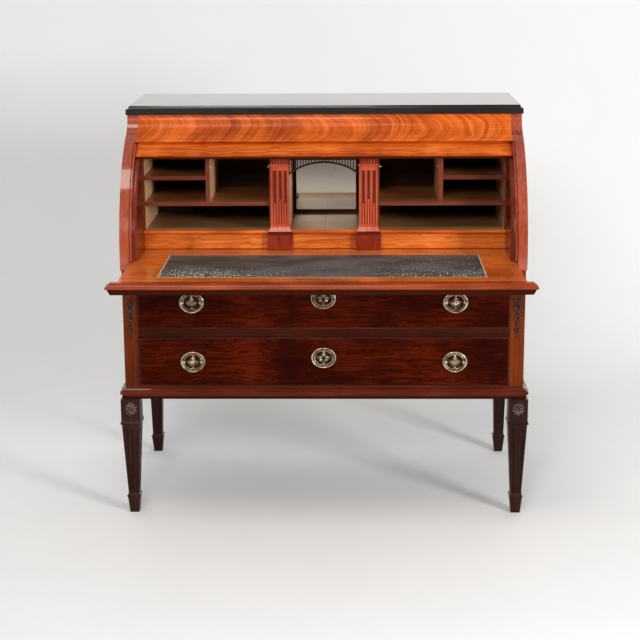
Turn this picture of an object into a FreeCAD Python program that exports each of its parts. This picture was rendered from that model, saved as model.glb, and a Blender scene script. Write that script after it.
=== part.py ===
import FreeCAD, Part
import math
import os
import re
import Sketcher

V = FreeCAD.Vector

# Every length is in millimetres. x runs along the front, y runs back from the
# front plane of the case (the face of the posts and drawer fronts), z is height.

doc = FreeCAD.newDocument("cylinder_desk")
sheet = doc.addObject("Spreadsheet::Sheet", "dims")

SIZES = {
    # carcass
    "case_width": 1150,
    "case_depth": 612,
    "post_size": 42,
    "side_board": 23,
    "back_board": 12,
    "bottom_board": 20,
    "base_top": 388,
    "base_height": 37,
    "base_projection": 14,
    "base_fillet": 5,
    "base_bead": 9,
    # legs
    "leg_block": 56,
    "leg_block_height": 66,
    "leg_collar_height": 12,
    "leg_collar_rise": 4,
    "leg_collar_projection": 3,
    "leg_shaft_top": 54,
    "leg_shaft_bottom": 31,
    "leg_foot_height": 48,
    "leg_foot_top": 36,
    "leg_foot_bottom": 26,
    "foot_collar_height": 11,
    "foot_collar_rise": 4,
    "foot_collar_width": 40,
    "leg_flute_radius": 4,
    "leg_flute_depth": 2.8,
    "leg_cable_height": 86,
    "leg_flute_end": 9,
    "back_leg_top": 46,
    # drawers
    "lower_opening": 146,
    "drawer_rail_height": 24,
    "upper_opening": 147,
    "slide_rail_height": 22,
    "rail_depth": 60,
    "drawer_gap": 1,
    "run_gap": 0.4,
    "drawer_front": 22,
    "drawer_side": 12,
    "drawer_bottom": 8,
    "drawer_bottom_rise": 6,
    "drawer_rear_gap": 40,
    "drawer_side_drop": 18,
    "cockbead_width": 4,
    "cockbead_projection": 3,
    "runner_width": 46,
    "runner_height": 12,
    "guide_width": 19,
    "guide_height": 40,
    "lock_width": 70,
    "lock_height": 45,
    "lock_depth": 12,
    "bolt_width": 22,
    "bolt_depth": 5,
    "bolt_length": 30,
    "bolt_throw": 8,
    "bolt_gap": 0.3,
    "keyhole_radius": 3,
    "keyhole_slot_width": 3,
    "keyhole_slot_length": 9,
    # brass handles
    "plate_width": 72,
    "plate_height": 61,
    "plate_thickness": 2,
    "rim_width": 11,
    "rim_rise": 1.8,
    "urn_width": 34,
    "urn_bar": 3.5,
    "urn_rise": 1.2,
    "handle_inset": 198,
    "escutcheon_lift": 12,
    "upper_handle_lift": 4.5,
    "boss_radius": 3.6,
    "boss_length": 10,
    "boss_spread": 50,
    "bail_drop": 28,
    "bail_rod_radius": 2.2,
    "bail_standoff": 8.5,
    "bail_pin_radius": 1.5,
    "bail_pin_gap": 0.08,
    "bail_arm_gap": 0.4,
    # writing slide
    "slide_thickness": 22,
    "slide_gap": 1,
    "slide_rear_room": 300,
    "slide_reach": 277,
    "nosing_overhang": 6.5,
    "nosing_depth": 30,
    "nosing_height": 33,
    "nosing_step": 3,
    "nosing_top_inset": 12,
    "nosing_step_inset": 9,
    "nosing_nose_drop": 15,
    "nosing_undercut_drop": 18,
    "nosing_fascia_inset": 6,
    "nosing_fascia_slope": 7,
    "leather_margin": 100,
    "leather_depth": 316,
    "leather_thickness": 1.5,
    "leather_front": 192,
    # curved upper case
    "cheek_overhang": 4,
    "cheek_board": 27,
    "cheek_front_gap": 2,
    "arc_back_gap": 235,
    "arc_centre_rise": 5,
    "lining_board": 18,
    "lining_gap": 0.4,
    "lining_chamfer": 5,
    "roll_inset": 13,
    "roll_thickness": 13,
    "roll_gap": 2,
    "roll_end_gap": 4,
    "roll_tongue": 6.5,
    "roll_tongue_step": 6,
    "roll_span_angle": 62,
    "roll_open_angle": 51,
    "roll_rail_angle": 4.5,
    "roll_lip": 6,
    "roll_lip_angle": 0.8,
    "roll_lip_inset": 6,
    "bead_width": 7,
    "bead_rise": 4,
    "bead_seat": 10,
    "bead_start_angle": -0.2,
    "bead_end_angle": 58,
    # frieze and top slab
    "cheek_stop": 5,
    "frieze_foot_share": 0.847,
    "frieze_bead": 7,
    "frieze_bead_proud": 5,
    "frieze_depth": 57,
    "top_overhang": 7,
    "slab_lift": 15.1,
    "slab_thickness": 25.5,
    "slab_overhang": 8,
    "slab_run": 369,
    "slab_back_overhang": 8,
    "slab_edge": 16,
    "slab_step": 2,
    "slab_bevel": 9,
    "slab_bevel_radius": 9,
    # fitted gallery
    "gallery_front_share": 0.44,
    "gallery_rear_gap": 90,
    "gallery_board": 12,
    "gallery_side_board": 4,
    "gallery_back_board": 8,
    "gallery_lift": 2,
    "plinth_height": 43,
    "plinth_board": 14,
    "gallery_floor": 13,
    "gallery_floor_nose": 9,
    "gallery_top_setback": 4,
    "wide_shelf_share": 0.3962,
    "small_shelf_share": 0.7594,
    "gallery_height_share": 0.5653,
    "pigeonhole_width": 191,
    "niche_half": 103,
    "column_width": 59,
    "wall_board": 8,
    "pilaster_offset": 130,
    "pilaster_width": 54,
    "pilaster_depth": 16,
    "pilaster_base_width": 70,
    "pilaster_base_height": 29,
    "pilaster_base_plate": 11,
    "pilaster_base_fillet": 4,
    "pilaster_base_fillet_proud": 2,
    "pilaster_base_depth": 20,
    "pilaster_cap_height": 22,
    "pilaster_cap_rise": 3,
    "pilaster_cap_width": 62,
    "pilaster_cap_plate": 4,
    "pilaster_neck_width": 50,
    "neck_slot_width": 4,
    "neck_slot_depth": 2,
    "pilaster_flute_radius": 6,
    "pilaster_flute_depth": 4.5,
    "pilaster_cable_height": 62,
    "pilaster_flute_end": 6,
    "plinth_block_width": 75,
    "plinth_block_depth": 20,
    "arch_thickness": 8,
    "arch_height": 49,
    "arch_rise": 35,
    "arch_band": 5,
    "arch_head": 5,
    "arch_bar": 3,
    "arch_slot": 5.2,
    "mirror_thickness": 4,
    "mirror_frame_width": 12,
    "mirror_stile_width": 10,
    "mirror_frame_depth": 7,
    "peg_radius": 2,
    "peg_length": 6,
    "peg_setback": 12,
    "peg_drop": 26,
    # overrun for cutting tools
    "overrun": 4,
}

for row, (alias, value) in enumerate(SIZES.items(), start=1):
    sheet.set(f"A{row}", alias)
    sheet.set(f"B{row}", str(value))
    sheet.setAlias(f"B{row}", alias)
doc.recompute()

FUNCTIONS = {"sqrt", "sin", "cos", "tan", "atan", "abs"}


# places and sizes that follow from the driving ones
DERIVED = {
    "arc_centre_back": "(case_depth - arc_back_gap)",
    "arc_centre_height": "(slide_top + arc_centre_rise)",
    "slide_top": "(rail_top + run_gap + slide_thickness)",
    "rail_top": "(base_top + lower_opening + drawer_rail_height + upper_opening + slide_rail_height)",
    "cheek_radius": "(arc_centre_back - cheek_front_gap)",
    "cheek_width": "(case_width + 2 * cheek_overhang)",
    "cheek_inside": "(cheek_width / 2 - cheek_board)",
    "slide_half": "(cheek_inside - slide_gap)",
    "leather_width": "(2 * (slide_half - leather_margin))",
    "nosing_width": "(case_width + 2 * nosing_overhang)",
    "slab_width": "(case_width + 2 * slab_overhang)",
    "slab_front": "(case_depth - slab_run)",
    "slab_bottom": "(arc_centre_height + cheek_radius + slab_lift)",
    "frieze_half": "(cheek_inside - cheek_stop)",
    "frieze_bottom": "(arc_centre_height + cheek_radius * frieze_foot_share)",
    "frieze_top_back": "(slab_front + frieze_depth)",
    "inside_back": "(case_depth - back_board)",
    "slide_back": "(inside_back - slide_rear_room)",
    "drawer_length": "(inside_back - drawer_rear_gap)",
    "handle_spread": "(case_width - 2 * handle_inset)",
    "gallery_front": "(arc_centre_back - cheek_radius * gallery_front_share)",
    "gallery_back": "(inside_back - gallery_rear_gap)",
    "gallery_clear_height": "(cheek_radius * gallery_height_share)",
    "wide_shelf_height": "(gallery_clear_height * wide_shelf_share)",
    "small_shelf_height": "(gallery_clear_height * small_shelf_share)",
    "divider_offset": "(cheek_inside - lining_board - pigeonhole_width)",
}


def bind(text):
    """Turn words such as case_width into references to the sheet."""
    def refer(match):
        word = match.group()
        if word in DERIVED:
            return bind(DERIVED[word])
        return word if word in FUNCTIONS else "dims." + word
    return re.sub(r"[a-z][a-z0-9_]*", refer, str(text))


def num(text):
    """The present value of an expression."""
    value = sheet.evalExpression(bind(text))
    return float(getattr(value, "Value", value))


# places that several pieces share
FRONT_Y = "((slide_reach - case_depth - slab_back_overhang) / 2)"
HALF = "(case_width / 2)"
OPENING = f"({HALF} - post_size)"
BASE_BOTTOM = "(base_top - base_height)"
LOWER_TOP = "(base_top + lower_opening)"
UPPER_BOTTOM = f"({LOWER_TOP} + drawer_rail_height)"
UPPER_TOP = f"({UPPER_BOTTOM} + upper_opening)"
RAIL_TOP = "rail_top"
SLIDE_BOTTOM = f"({RAIL_TOP} + run_gap)"
SLIDE_TOP = "slide_top"
CHEEK_IN = "cheek_inside"
LINING_IN = f"({CHEEK_IN} - lining_board)"
BACK_IN = "inside_back"
ARC_Y = "arc_centre_back"
ARC_Z = "arc_centre_height"
ROLL_OUT = "(cheek_radius - roll_inset)"
ROLL_IN = f"({ROLL_OUT} - roll_thickness)"
TONGUE_OUT = f"({ROLL_OUT} - roll_tongue_step)"
STRIP_IN = f"({TONGUE_OUT} + roll_gap)"
FRIEZE_IN = f"({ROLL_OUT} + roll_gap)"
LINING_OUT = f"({ROLL_IN} - lining_gap)"
GALLERY_BOTTOM = f"({SLIDE_TOP} + gallery_lift)"
FLOOR_BOTTOM = f"({GALLERY_BOTTOM} + plinth_height)"
FLOOR_TOP = f"({FLOOR_BOTTOM} + gallery_floor)"
GALLERY_HALF = LINING_IN
GALLERY_CEILING = f"({FLOOR_TOP} + gallery_clear_height)"
COLUMN_OUT = "(niche_half + column_width)"

nodes = []


def keep(obj, label):
    """Give a finished sub-part its name and list it for export."""
    obj.Label = label
    nodes.append(obj)
    return obj


def place(obj, x="0", y="0", z="0"):
    """Put an object at a point of the case, bound to the sheet."""
    obj.setExpression("Placement.Base.x", bind(x))
    obj.setExpression("Placement.Base.y", bind(f"{FRONT_Y} + {y}"))
    obj.setExpression("Placement.Base.z", bind(z))


def box(name, x, y, z):
    """A board given by its lowest and highest x, y and z."""
    board = doc.addObject("Part::Box", name)
    for prop, (low, high) in zip(("Length", "Width", "Height"), (x, y, z)):
        board.setExpression(prop, bind(f"({high}) - ({low})"))
    place(board, x[0], y[0], z[0])
    return board


def pair(name, x, y, z):
    """The same board on the left and on the right."""
    right = box(name + "_r", x, y, z)
    left = box(name + "_l", (f"-({x[1]})", f"-({x[0]})"), y, z)
    return [left, right]


def group(label, members):
    """Separate solids that share one node."""
    bundle = doc.addObject("Part::Compound", label)
    bundle.Links = members
    return keep(bundle, label)


def cylinder(name, axis, radius, length, x, y, z):
    """A round bar along one axis, starting at a point."""
    bar = doc.addObject("Part::Cylinder", name)
    bar.setExpression("Radius", bind(radius))
    bar.setExpression("Height", bind(length))
    turns = {"x": (V(0, 1, 0), 90), "y": (V(1, 0, 0), -90), "z": (V(0, 0, 1), 0)}
    bar.Placement = FreeCAD.Placement(V(0, 0, 0), FreeCAD.Rotation(*turns[axis]))
    place(bar, x, y, z)
    return bar


def cut(name, base, tool):
    result = doc.addObject("Part::Cut", name)
    result.Base = base
    result.Tool = tool
    return result


def arc_edge(start, end, radius):
    """The short arc from start to end; a positive radius turns left."""
    chord = end - start
    half = chord.Length / 2
    reach = math.sqrt(max(radius * radius - half * half, 0))
    side = V(-chord.y, chord.x, 0).normalize() * math.copysign(reach, radius)
    centre = (start + end) / 2 + side
    first, last = (start, end) if radius > 0 else (end, start)
    a0 = math.atan2(first.y - centre.y, first.x - centre.x)
    a1 = math.atan2(last.y - centre.y, last.x - centre.x)
    circle = Part.Circle(centre, V(0, 0, 1), abs(radius))
    return Part.ArcOfCircle(circle, a0, a1 if a1 > a0 else a1 + 2 * math.pi)


def draw(sketch, path):
    """Close a path of (x, y) or (x, y, radius of the arc that arrives there)."""
    points = [V(num(step[0]), num(step[1]), 0) for step in path]
    count = len(path)
    starts = []
    for i in range(count):
        here, there = points[i], points[(i + 1) % count]
        bend = path[(i + 1) % count][2:]
        if bend:
            radius = num(bend[0])
            edge = sketch.addGeometry(arc_edge(here, there, radius), False)
            size = sketch.addConstraint(Sketcher.Constraint("Radius", edge, abs(radius)))
            sketch.setExpression(f"Constraints[{size}]", bind(f"abs({bend[0]})"))
            starts.append((edge, 1, 2) if radius > 0 else (edge, 2, 1))
        else:
            edge = sketch.addGeometry(Part.LineSegment(here, there), False)
            starts.append((edge, 1, 2))
    for i in range(count):
        edge, first, last = starts[i]
        following, onward, _ = starts[(i + 1) % count]
        sketch.addConstraint(Sketcher.Constraint("Coincident", edge, last, following, onward))
        for kind, axis, value, text in (("DistanceX", -2, points[i].x, path[i][0]),
                                        ("DistanceY", -1, points[i].y, path[i][1])):
            if abs(value) < 1e-9:
                sketch.addConstraint(Sketcher.Constraint("PointOnObject", edge, first, axis))
            else:
                size = sketch.addConstraint(Sketcher.Constraint(kind, -1, 1, edge, first, value))
                sketch.setExpression(f"Constraints[{size}]", bind(text))
    return sketch


def new_body(name):
    return doc.addObject("PartDesign::Body", name)


def plane_of(body, role):
    return next(item for item in body.Origin.OriginFeatures if item.Role == role)


def new_sketch(body, name, role, path):
    sketch = body.newObject("Sketcher::SketchObject", name)
    sketch.AttachmentSupport = [(plane_of(body, role), "")]
    sketch.MapMode = "FlatFace"
    doc.recompute()
    return draw(sketch, path)


def pad(body, sketch, length, symmetric=False, reverse=False):
    feature = body.newObject("PartDesign::Pad", sketch.Name + "_pad")
    feature.Profile = sketch
    feature.setExpression("Length", bind(length))
    feature.Midplane = symmetric
    feature.Reversed = reverse
    return feature


def revolve(body, sketch, angle, upward=False):
    """Turn a section about the roll's axis, forward and down unless upward."""
    feature = body.newObject("PartDesign::Revolution", sketch.Name + "_turn")
    feature.Profile = sketch
    feature.ReferenceAxis = (plane_of(body, "X_Axis"), [""])
    feature.setExpression("Angle", bind(angle))
    feature.Reversed = upward
    return feature


def moulded(name, half_width, front, back, bottom, path):
    """A board whose front and ends carry one moulding, mitred at the corners.

    The path gives (inset, height) steps from the bottom up.
    """
    along = [(f"{front} + {step[0]}", f"{bottom} + {step[1]}", *step[2:]) for step in path]
    along += [(back, f"{bottom} + {path[-1][1]}"), (back, f"{bottom} + {path[0][1]}")]
    front_body = new_body(name + "_front_run")
    sketch = new_sketch(front_body, name + "_front_path", "YZ_Plane", along)
    pad(front_body, sketch, f"2 * {half_width}", symmetric=True)
    place(front_body)
    left = [(f"-({half_width}) + {step[0]}", f"{bottom} + {step[1]}", *step[2:]) for step in path]
    right = []
    for i in reversed(range(len(path))):
        step = path[i]
        bend = path[i + 1][2:] if i + 1 < len(path) else ()
        right.append((f"{half_width} - ({step[0]})", f"{bottom} + {step[1]}", *bend))
    end_body = new_body(name + "_end_run")
    sketch = new_sketch(end_body, name + "_end_path", "XZ_Plane", left + right)
    pad(end_body, sketch, f"({back}) - ({front})", reverse=True)
    place(end_body, "0", front)
    both = doc.addObject("Part::MultiCommon", name)
    both.Shapes = [front_body, end_body]
    return both


# carcass below the slide

def make_carcass():
    keep(box("case_bottom", (f"-({HALF}) + side_board", f"{HALF} - side_board"),
             ("post_size", BACK_IN), ("base_top - bottom_board", "base_top")), "case_bottom")
    for side, name in ((-1, "left"), (1, "right")):
        low, high = sorted((f"{side} * {HALF}", f"{side} * {OPENING}"), key=num)
        keep(box(name + "_post", (low, high), ("0", "post_size"), ("base_top", RAIL_TOP)),
             name + "_front_post")
        low, high = sorted((f"{side} * {HALF}", f"{side} * ({HALF} - side_board)"), key=num)
        keep(box(name + "_side", (low, high), ("post_size", "case_depth"), ("base_top", RAIL_TOP)),
             name + "_side_panel")
    keep(box("back_panel", (f"-({CHEEK_IN})", CHEEK_IN),
             (BACK_IN, "case_depth"), ("base_top - bottom_board", "slab_bottom")), "back_panel")
    make_base()
    make_rails()
    make_runners()


def make_base():
    """The stepped base moulding: fillet, cove, bead and fascia, on a flat frame."""
    steps = [("base_fillet", "0"),
             ("base_fillet", "base_height - base_fillet - 2 * base_bead"),
             ("0", "base_height - base_fillet - 2 * base_bead"),
             ("0", "base_height - base_fillet - base_bead"),
             ("base_bead / 2", "base_height - base_fillet - base_bead"),
             ("base_projection", "base_height - base_fillet", "-2 * base_bead"),
             ("base_projection", "base_height")]
    block = moulded("base_block", f"({HALF} + base_projection)", "-base_projection", "case_depth",
                    BASE_BOTTOM, steps)
    well = box("base_well", (f"-({HALF}) + side_board", f"{HALF} - side_board"),
               ("post_size", "case_depth + overrun"), (f"{BASE_BOTTOM} - overrun", "base_top + overrun"))
    keep(cut("base_frame", block, well), "base_moulding")


def make_rails():
    """The two front rails, each with a mortise for the lock bolt below it."""
    for name, low, high in (("drawer_rail", LOWER_TOP, UPPER_BOTTOM), ("slide_rail", UPPER_TOP, RAIL_TOP)):
        rail = box(name + "_board", (f"-({OPENING})", OPENING), ("0", "rail_depth"), (low, high))
        mortise = box(name + "_mortise",
                      ("-bolt_width / 2 - drawer_gap", "bolt_width / 2 + drawer_gap"),
                      ("drawer_front", "drawer_front + lock_depth"),
                      (f"{low} - overrun", f"{low} + bolt_throw + drawer_gap"))
        keep(cut(name, rail, mortise), name)


def make_runners():
    """Bearers for the drawers and the slide along both sides of the case."""
    wall = f"({HALF} - side_board)"
    guide_in = f"({wall} - guide_width)"
    run = ("rail_depth", BACK_IN)
    members = pair("runner", (f"{wall} - runner_width", wall), run,
                   (f"{UPPER_BOTTOM} - runner_height", UPPER_BOTTOM))
    group("drawer_runners", members)
    members = pair("upper_guide", (guide_in, wall), run,
                   (UPPER_BOTTOM, f"{UPPER_BOTTOM} + guide_height"))
    members += pair("lower_guide", (guide_in, wall), run, ("base_top", "base_top + guide_height"))
    group("drawer_guides", members)
    group("slide_bearers", pair("bearer", (guide_in, wall), run, (UPPER_TOP, RAIL_TOP)))


# legs

def taper(bottom, top, low, high):
    """A plane-sided block between two levels, each given as (width, front, back)."""
    (w0, front0, back0), (w1, front1, back1) = bottom, top
    block = Part.makeWedge(-w0 / 2, low, -back0, -back1, -w1 / 2, w0 / 2, high, -front0, -front1, w1 / 2)
    block.rotate(V(0, 0, 0), V(1, 0, 0), 90)
    return block


def frustum(bottom, top, low, high):
    """A square taper between two heights, centred on the leg."""
    return taper((bottom, -bottom / 2, bottom / 2), (top, -top / 2, top / 2), low, high)


def ring_of(sides, radius, centre, line):
    """A regular outline about a point, square to a line."""
    way = V(line).normalize()
    across = way.cross(V(0, 1, 0) if abs(way.y) < abs(way.z) else V(0, 0, 1)).normalize()
    up = way.cross(across)
    corners = []
    for i in range(sides + 1):
        turn = 2 * math.pi * i / sides
        corners.append(centre + (across * math.cos(turn) + up * math.sin(turn)) * radius)
    return Part.makePolygon(corners)


def many_sided(sides, radius, start, line, length):
    """A straight rod of flat facets from a point along a line."""
    return Part.Face(ring_of(sides, radius, start, line)).extrude(V(line).normalize() * length)


def cabled_flute(foot, head, outward, radius, depth, cable):
    """A round flute between two points of a face, and the rod that fills its foot."""
    line = head - foot
    groove = Part.makeCylinder(radius, line.Length, foot + outward * (radius - depth), line)
    rod = many_sided(CABLE_SIDES, depth * CABLE_SHARE, foot - outward * depth, line, cable)
    return groove, rod


CABLE_SIDES = 8
CABLE_SHARE = 0.8
FLUTE_SHARES = (-0.29, 0.0, 0.29)
NECK_SLOTS = 6


def make_front_leg(label, side):
    height = num(BASE_BOTTOM)
    block_low = height - num("leg_block_height")
    collar_low = block_low - num("leg_collar_height")
    foot = num("leg_foot_height")
    neck = foot + num("foot_collar_height")
    block = num("leg_block")
    wide = block + 2 * num("leg_collar_projection")
    top, bottom = num("leg_shaft_top"), num("leg_shaft_bottom")
    ridge = collar_low + num("leg_collar_rise")
    waist = foot + num("foot_collar_rise")
    shape = frustum(num("leg_foot_bottom"), num("leg_foot_top"), 0, foot)
    shape = shape.fuse([frustum(num("leg_foot_top"), num("foot_collar_width"), foot, waist),
                        frustum(num("foot_collar_width"), bottom, waist, neck),
                        frustum(bottom, top, neck, collar_low),
                        frustum(top, wide, collar_low, ridge),
                        frustum(wide, block, ridge, block_low),
                        frustum(block, block, block_low, height)])
    end = num("leg_flute_end")
    low, high = neck + end / 2, collar_low - end - num("leg_flute_radius")
    slope = (top - bottom) / (collar_low - neck)
    grooves, rods = [], []
    for quarter in (-1, 0, 1):
        turn = FreeCAD.Rotation(V(0, 0, 1), 90 * quarter)
        outward = turn.multVec(V(0, -1, 0))
        for share in FLUTE_SHARES:
            ends = []
            for z in (low, high):
                width = bottom + slope * (z - neck)
                ends.append(turn.multVec(V(share * width, -width / 2, z)))
            groove, rod = cabled_flute(ends[0], ends[1], outward, num("leg_flute_radius"),
                                       num("leg_flute_depth"), num("leg_cable_height"))
            grooves.append(groove)
            rods.append(rod)
    shape = shape.cut(grooves)
    shape = shape.fuse(rods).removeSplitter()
    finish_leg(label, shape, side, "leg_block / 2 - base_projection")


def make_back_leg(label, side):
    height = num(BASE_BOTTOM)
    foot = num("leg_foot_height")
    neck = foot + num("foot_collar_height")
    bottom = num("leg_shaft_bottom")
    waist = foot + num("foot_collar_rise")
    shape = frustum(num("leg_foot_bottom"), num("leg_foot_top"), 0, foot)
    shape = shape.fuse([frustum(num("leg_foot_top"), num("foot_collar_width"), foot, waist),
                        frustum(num("foot_collar_width"), bottom, waist, neck),
                        frustum(bottom, num("back_leg_top"), neck, height)]).removeSplitter()
    finish_leg(label, shape, side, "case_depth - leg_block / 2")


def finish_leg(label, shape, side, y):
    leg = doc.addObject("Part::Feature", label)
    leg.Shape = shape
    place(leg, f"{side} * ({HALF} + base_projection - leg_block / 2)", y)
    keep(leg, label)


# curved upper case

def circle_y(radius, z):
    """How far back a circle about the roll's axis lies at a height, on its front side."""
    return f"({ARC_Y} - sqrt(({radius})^2 - (({z}) - {ARC_Z})^2))"


def cove():
    """Radius and lower end of the hollow that meets the cheek's circle smoothly."""
    top_y = "(slab_front + top_overhang)"
    across, up = f"({ARC_Y} - {top_y})", f"(slab_bottom - {ARC_Z})"
    radius = f"(({across}^2 + {up}^2 - cheek_radius^2) / (2 * (cheek_radius - {across})))"
    reach = f"(cheek_radius / (cheek_radius + {radius}))"
    meet = (f"({ARC_Y} - ({across} + {radius}) * {reach})", f"({ARC_Z} + {up} * {reach})")
    return radius, meet, top_y


def crown_path():
    """From the frieze's foot along the cheek's circle, then up the hollow to the slab."""
    radius, meet, top_y = cove()
    return [(*meet, "-cheek_radius"), (top_y, "slab_bottom", radius)]


def frieze_path(foot, proud):
    """The frieze's outline: a bead at its foot, the hollow face, and the roll's circle behind."""
    back = "frieze_top_back"
    back_z = f"({ARC_Z} + sqrt(({FRIEZE_IN})^2 - ({back} - {ARC_Y})^2))"
    above = f"({foot} + frieze_bead)"
    face = circle_y("cheek_radius", above)
    front = [(f"{face} - {proud}", foot), (f"{face} - {proud}", above), (face, above)]
    if proud == "0":
        front = [(circle_y("cheek_radius", foot), foot)]
    return front + crown_path() + [(back, "slab_bottom"), (back, back_z),
                                   (circle_y(FRIEZE_IN, foot), foot, FRIEZE_IN)]


def make_cheek(label, side):
    """A side whose front edge follows the roll, then hollows back to the slab."""
    body = new_body(label)
    low = RAIL_TOP
    path = [(circle_y("cheek_radius", low), low)] + crown_path()
    path += [("case_depth", "slab_bottom"), ("case_depth", low)]
    sketch = new_sketch(body, label + "_outline", "YZ_Plane", path)
    pad(body, sketch, "cheek_board", reverse=side < 0)
    inner = new_sketch(body, label + "_stop_outline", "YZ_Plane", frieze_path("frieze_bottom", "0"))
    body.Tip = pad(body, inner, f"{CHEEK_IN} - frieze_half", reverse=side > 0)
    place(body, f"{side} * {CHEEK_IN}")
    keep(body, label)


def make_lining(label, side):
    """The inner side that the roll turns round, a rounded board with an eased arris."""
    body = new_body(label)
    back_z = f"({ARC_Z} + sqrt(({LINING_OUT})^2 - ({BACK_IN} - {ARC_Y})^2))"
    crown = f"({ARC_Z} + {LINING_OUT})"
    path = [(circle_y(LINING_OUT, GALLERY_BOTTOM), GALLERY_BOTTOM),
            (ARC_Y, crown, f"-({LINING_OUT})"),
            (BACK_IN, back_z, f"-({LINING_OUT})"),
            (BACK_IN, GALLERY_BOTTOM)]
    sketch = new_sketch(body, label + "_outline", "YZ_Plane", path)
    board = pad(body, sketch, "lining_board", reverse=side > 0)
    doc.recompute()
    inner = -side * num("lining_board")
    rim = [f"Edge{i}" for i, edge in enumerate(board.Shape.Edges, start=1)
           if isinstance(edge.Curve, Part.Circle) and abs(edge.CenterOfMass.x - inner) < num("lining_gap")]
    arris = body.newObject("PartDesign::Chamfer", label + "_arris")
    arris.Base = (board, rim)
    arris.setExpression("Size", bind("lining_chamfer"))
    body.Tip = arris
    place(body, f"{side} * {CHEEK_IN}")
    keep(body, label)


def turn_to(body, angle):
    """Turn a body about the roll's axis; 0 faces forward and 90 faces up."""
    body.Placement = FreeCAD.Placement(V(0, 0, 0), FreeCAD.Rotation(V(1, 0, 0), 0))
    body.setExpression("Placement.Rotation.Angle", bind(angle))
    place(body, "0", ARC_Y, ARC_Z)


# a bead's section: shares of its width and of its rise
BEAD_SHARES = ((0, 0), (0.1, 0.6), (0.32, 1), (0.68, 1), (0.9, 0.6), (1, 0))


def make_bead_strips():
    """A beaded strip along the inner front edge of each cheek, which keeps the roll in."""
    strips = []
    seat = f"({STRIP_IN} + bead_seat)"
    for side in (-1, 1):
        body = new_body("bead_strip_l" if side < 0 else "bead_strip_r")
        path = [(f"{side} * ({CHEEK_IN} - bead_width * {across})", f"{seat} + bead_rise * {rise}")
                for across, rise in BEAD_SHARES]
        path += [(path[-1][0], STRIP_IN), (path[0][0], STRIP_IN)]
        sketch = new_sketch(body, body.Name + "_section", "XZ_Plane", path)
        body.Tip = revolve(body, sketch, "bead_end_angle - bead_start_angle")
        turn_to(body, "90 - bead_end_angle")
        strips.append(body)
    group("cheek_bead_strips", strips)


def make_frieze():
    body = new_body("frieze")
    sketch = new_sketch(body, "frieze_outline", "YZ_Plane",
                        frieze_path("frieze_bottom", "frieze_bead_proud"))
    pad(body, sketch, "2 * frieze_half", symmetric=True)
    place(body)
    keep(body, "frieze")


def make_slab():
    steps = [("0", "0"), ("0", "slab_edge"), ("slab_step", "slab_edge"),
             ("slab_bevel", "slab_thickness", "slab_bevel_radius")]
    slab = moulded("slab", "(slab_width / 2)", "slab_front", "case_depth + slab_back_overhang",
                   "slab_bottom", steps)
    keep(slab, "top_slab")


# roll

def roll_section():
    """Across the roll: a proud panel with a thin tongue at each end for the grooves."""
    half = f"({CHEEK_IN} - roll_end_gap)"
    panel = f"({half} - roll_tongue)"
    right = [(half, ROLL_IN), (half, TONGUE_OUT), (panel, TONGUE_OUT), (panel, ROLL_OUT)]
    left = [(f"-{x}", r) for x, r in reversed(right)]
    return right + left


def make_roll():
    """The rigid curved front, raised, with the rail that carries its finger lip."""
    body = new_body("roll_shell")
    sketch = new_sketch(body, "roll_section", "XZ_Plane", roll_section())
    body.Tip = revolve(body, sketch, "roll_span_angle - roll_rail_angle")
    turn_to(body, "90 - roll_open_angle - roll_span_angle")
    keep(body, "roll_shell")
    body = new_body("roll_rail")
    sketch = new_sketch(body, "roll_rail_section", "XZ_Plane", roll_section())
    revolve(body, sketch, "roll_rail_angle", upward=True)
    lip_half = f"({LINING_IN} - roll_lip_inset)"
    lip = new_sketch(body, "roll_lip_section", "XZ_Plane",
                     [(f"-{lip_half}", f"{ROLL_OUT} - roll_lip"), (lip_half, f"{ROLL_OUT} - roll_lip"),
                      (lip_half, f"{ROLL_OUT} + roll_lip"), (f"-{lip_half}", f"{ROLL_OUT} + roll_lip")])
    body.Tip = revolve(body, lip, "roll_lip_angle", upward=True)
    turn_to(body, "90 - roll_open_angle")
    keep(body, "roll_bottom_rail")


# writing slide

def make_slide():
    board_half = "slide_half"
    front = "(nosing_depth - slide_reach)"
    body = new_body("slide_board")
    sketch = new_sketch(body, "slide_outline", "XY_Plane",
                        [(f"-{board_half}", front), (board_half, front),
                         (board_half, "slide_back"), (f"-{board_half}", "slide_back")])
    pad(body, sketch, "slide_thickness")
    doc.recompute()
    half = "(leather_width / 2)"
    well = new_sketch(body, "leather_well", "XY_Plane",
                      [(f"-{half}", "-leather_front"), (half, "-leather_front"),
                       (half, "leather_depth - leather_front"),
                       (f"-{half}", "leather_depth - leather_front")])
    well.setExpression("AttachmentOffset.Base.z", bind("slide_thickness"))
    pocket = body.newObject("PartDesign::Pocket", "leather_pocket")
    pocket.Profile = well
    pocket.setExpression("Length", bind("leather_thickness"))
    body.Tip = pocket
    place(body, "0", "0", SLIDE_BOTTOM)
    keep(body, "slide_board")
    keep(box("leather", (f"-{half}", half), ("-leather_front", "leather_depth - leather_front"),
             (f"{SLIDE_TOP} - leather_thickness", SLIDE_TOP)), "leather_inset")
    top = "nosing_height"
    steps = [("nosing_fascia_inset + nosing_fascia_slope", "0"),
             ("nosing_fascia_inset", f"{top} - nosing_undercut_drop"),
             ("0", f"{top} - nosing_nose_drop"),
             ("nosing_step_inset", f"{top} - nosing_step", "-nosing_nose_drop"),
             ("nosing_top_inset", f"{top} - nosing_step"),
             ("nosing_top_inset", top)]
    nosing = moulded("nosing", "(nosing_width / 2)", "-slide_reach", front,
                     f"({SLIDE_TOP} - nosing_height)", steps)
    keep(nosing, "slide_nosing")


# drawers

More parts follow.
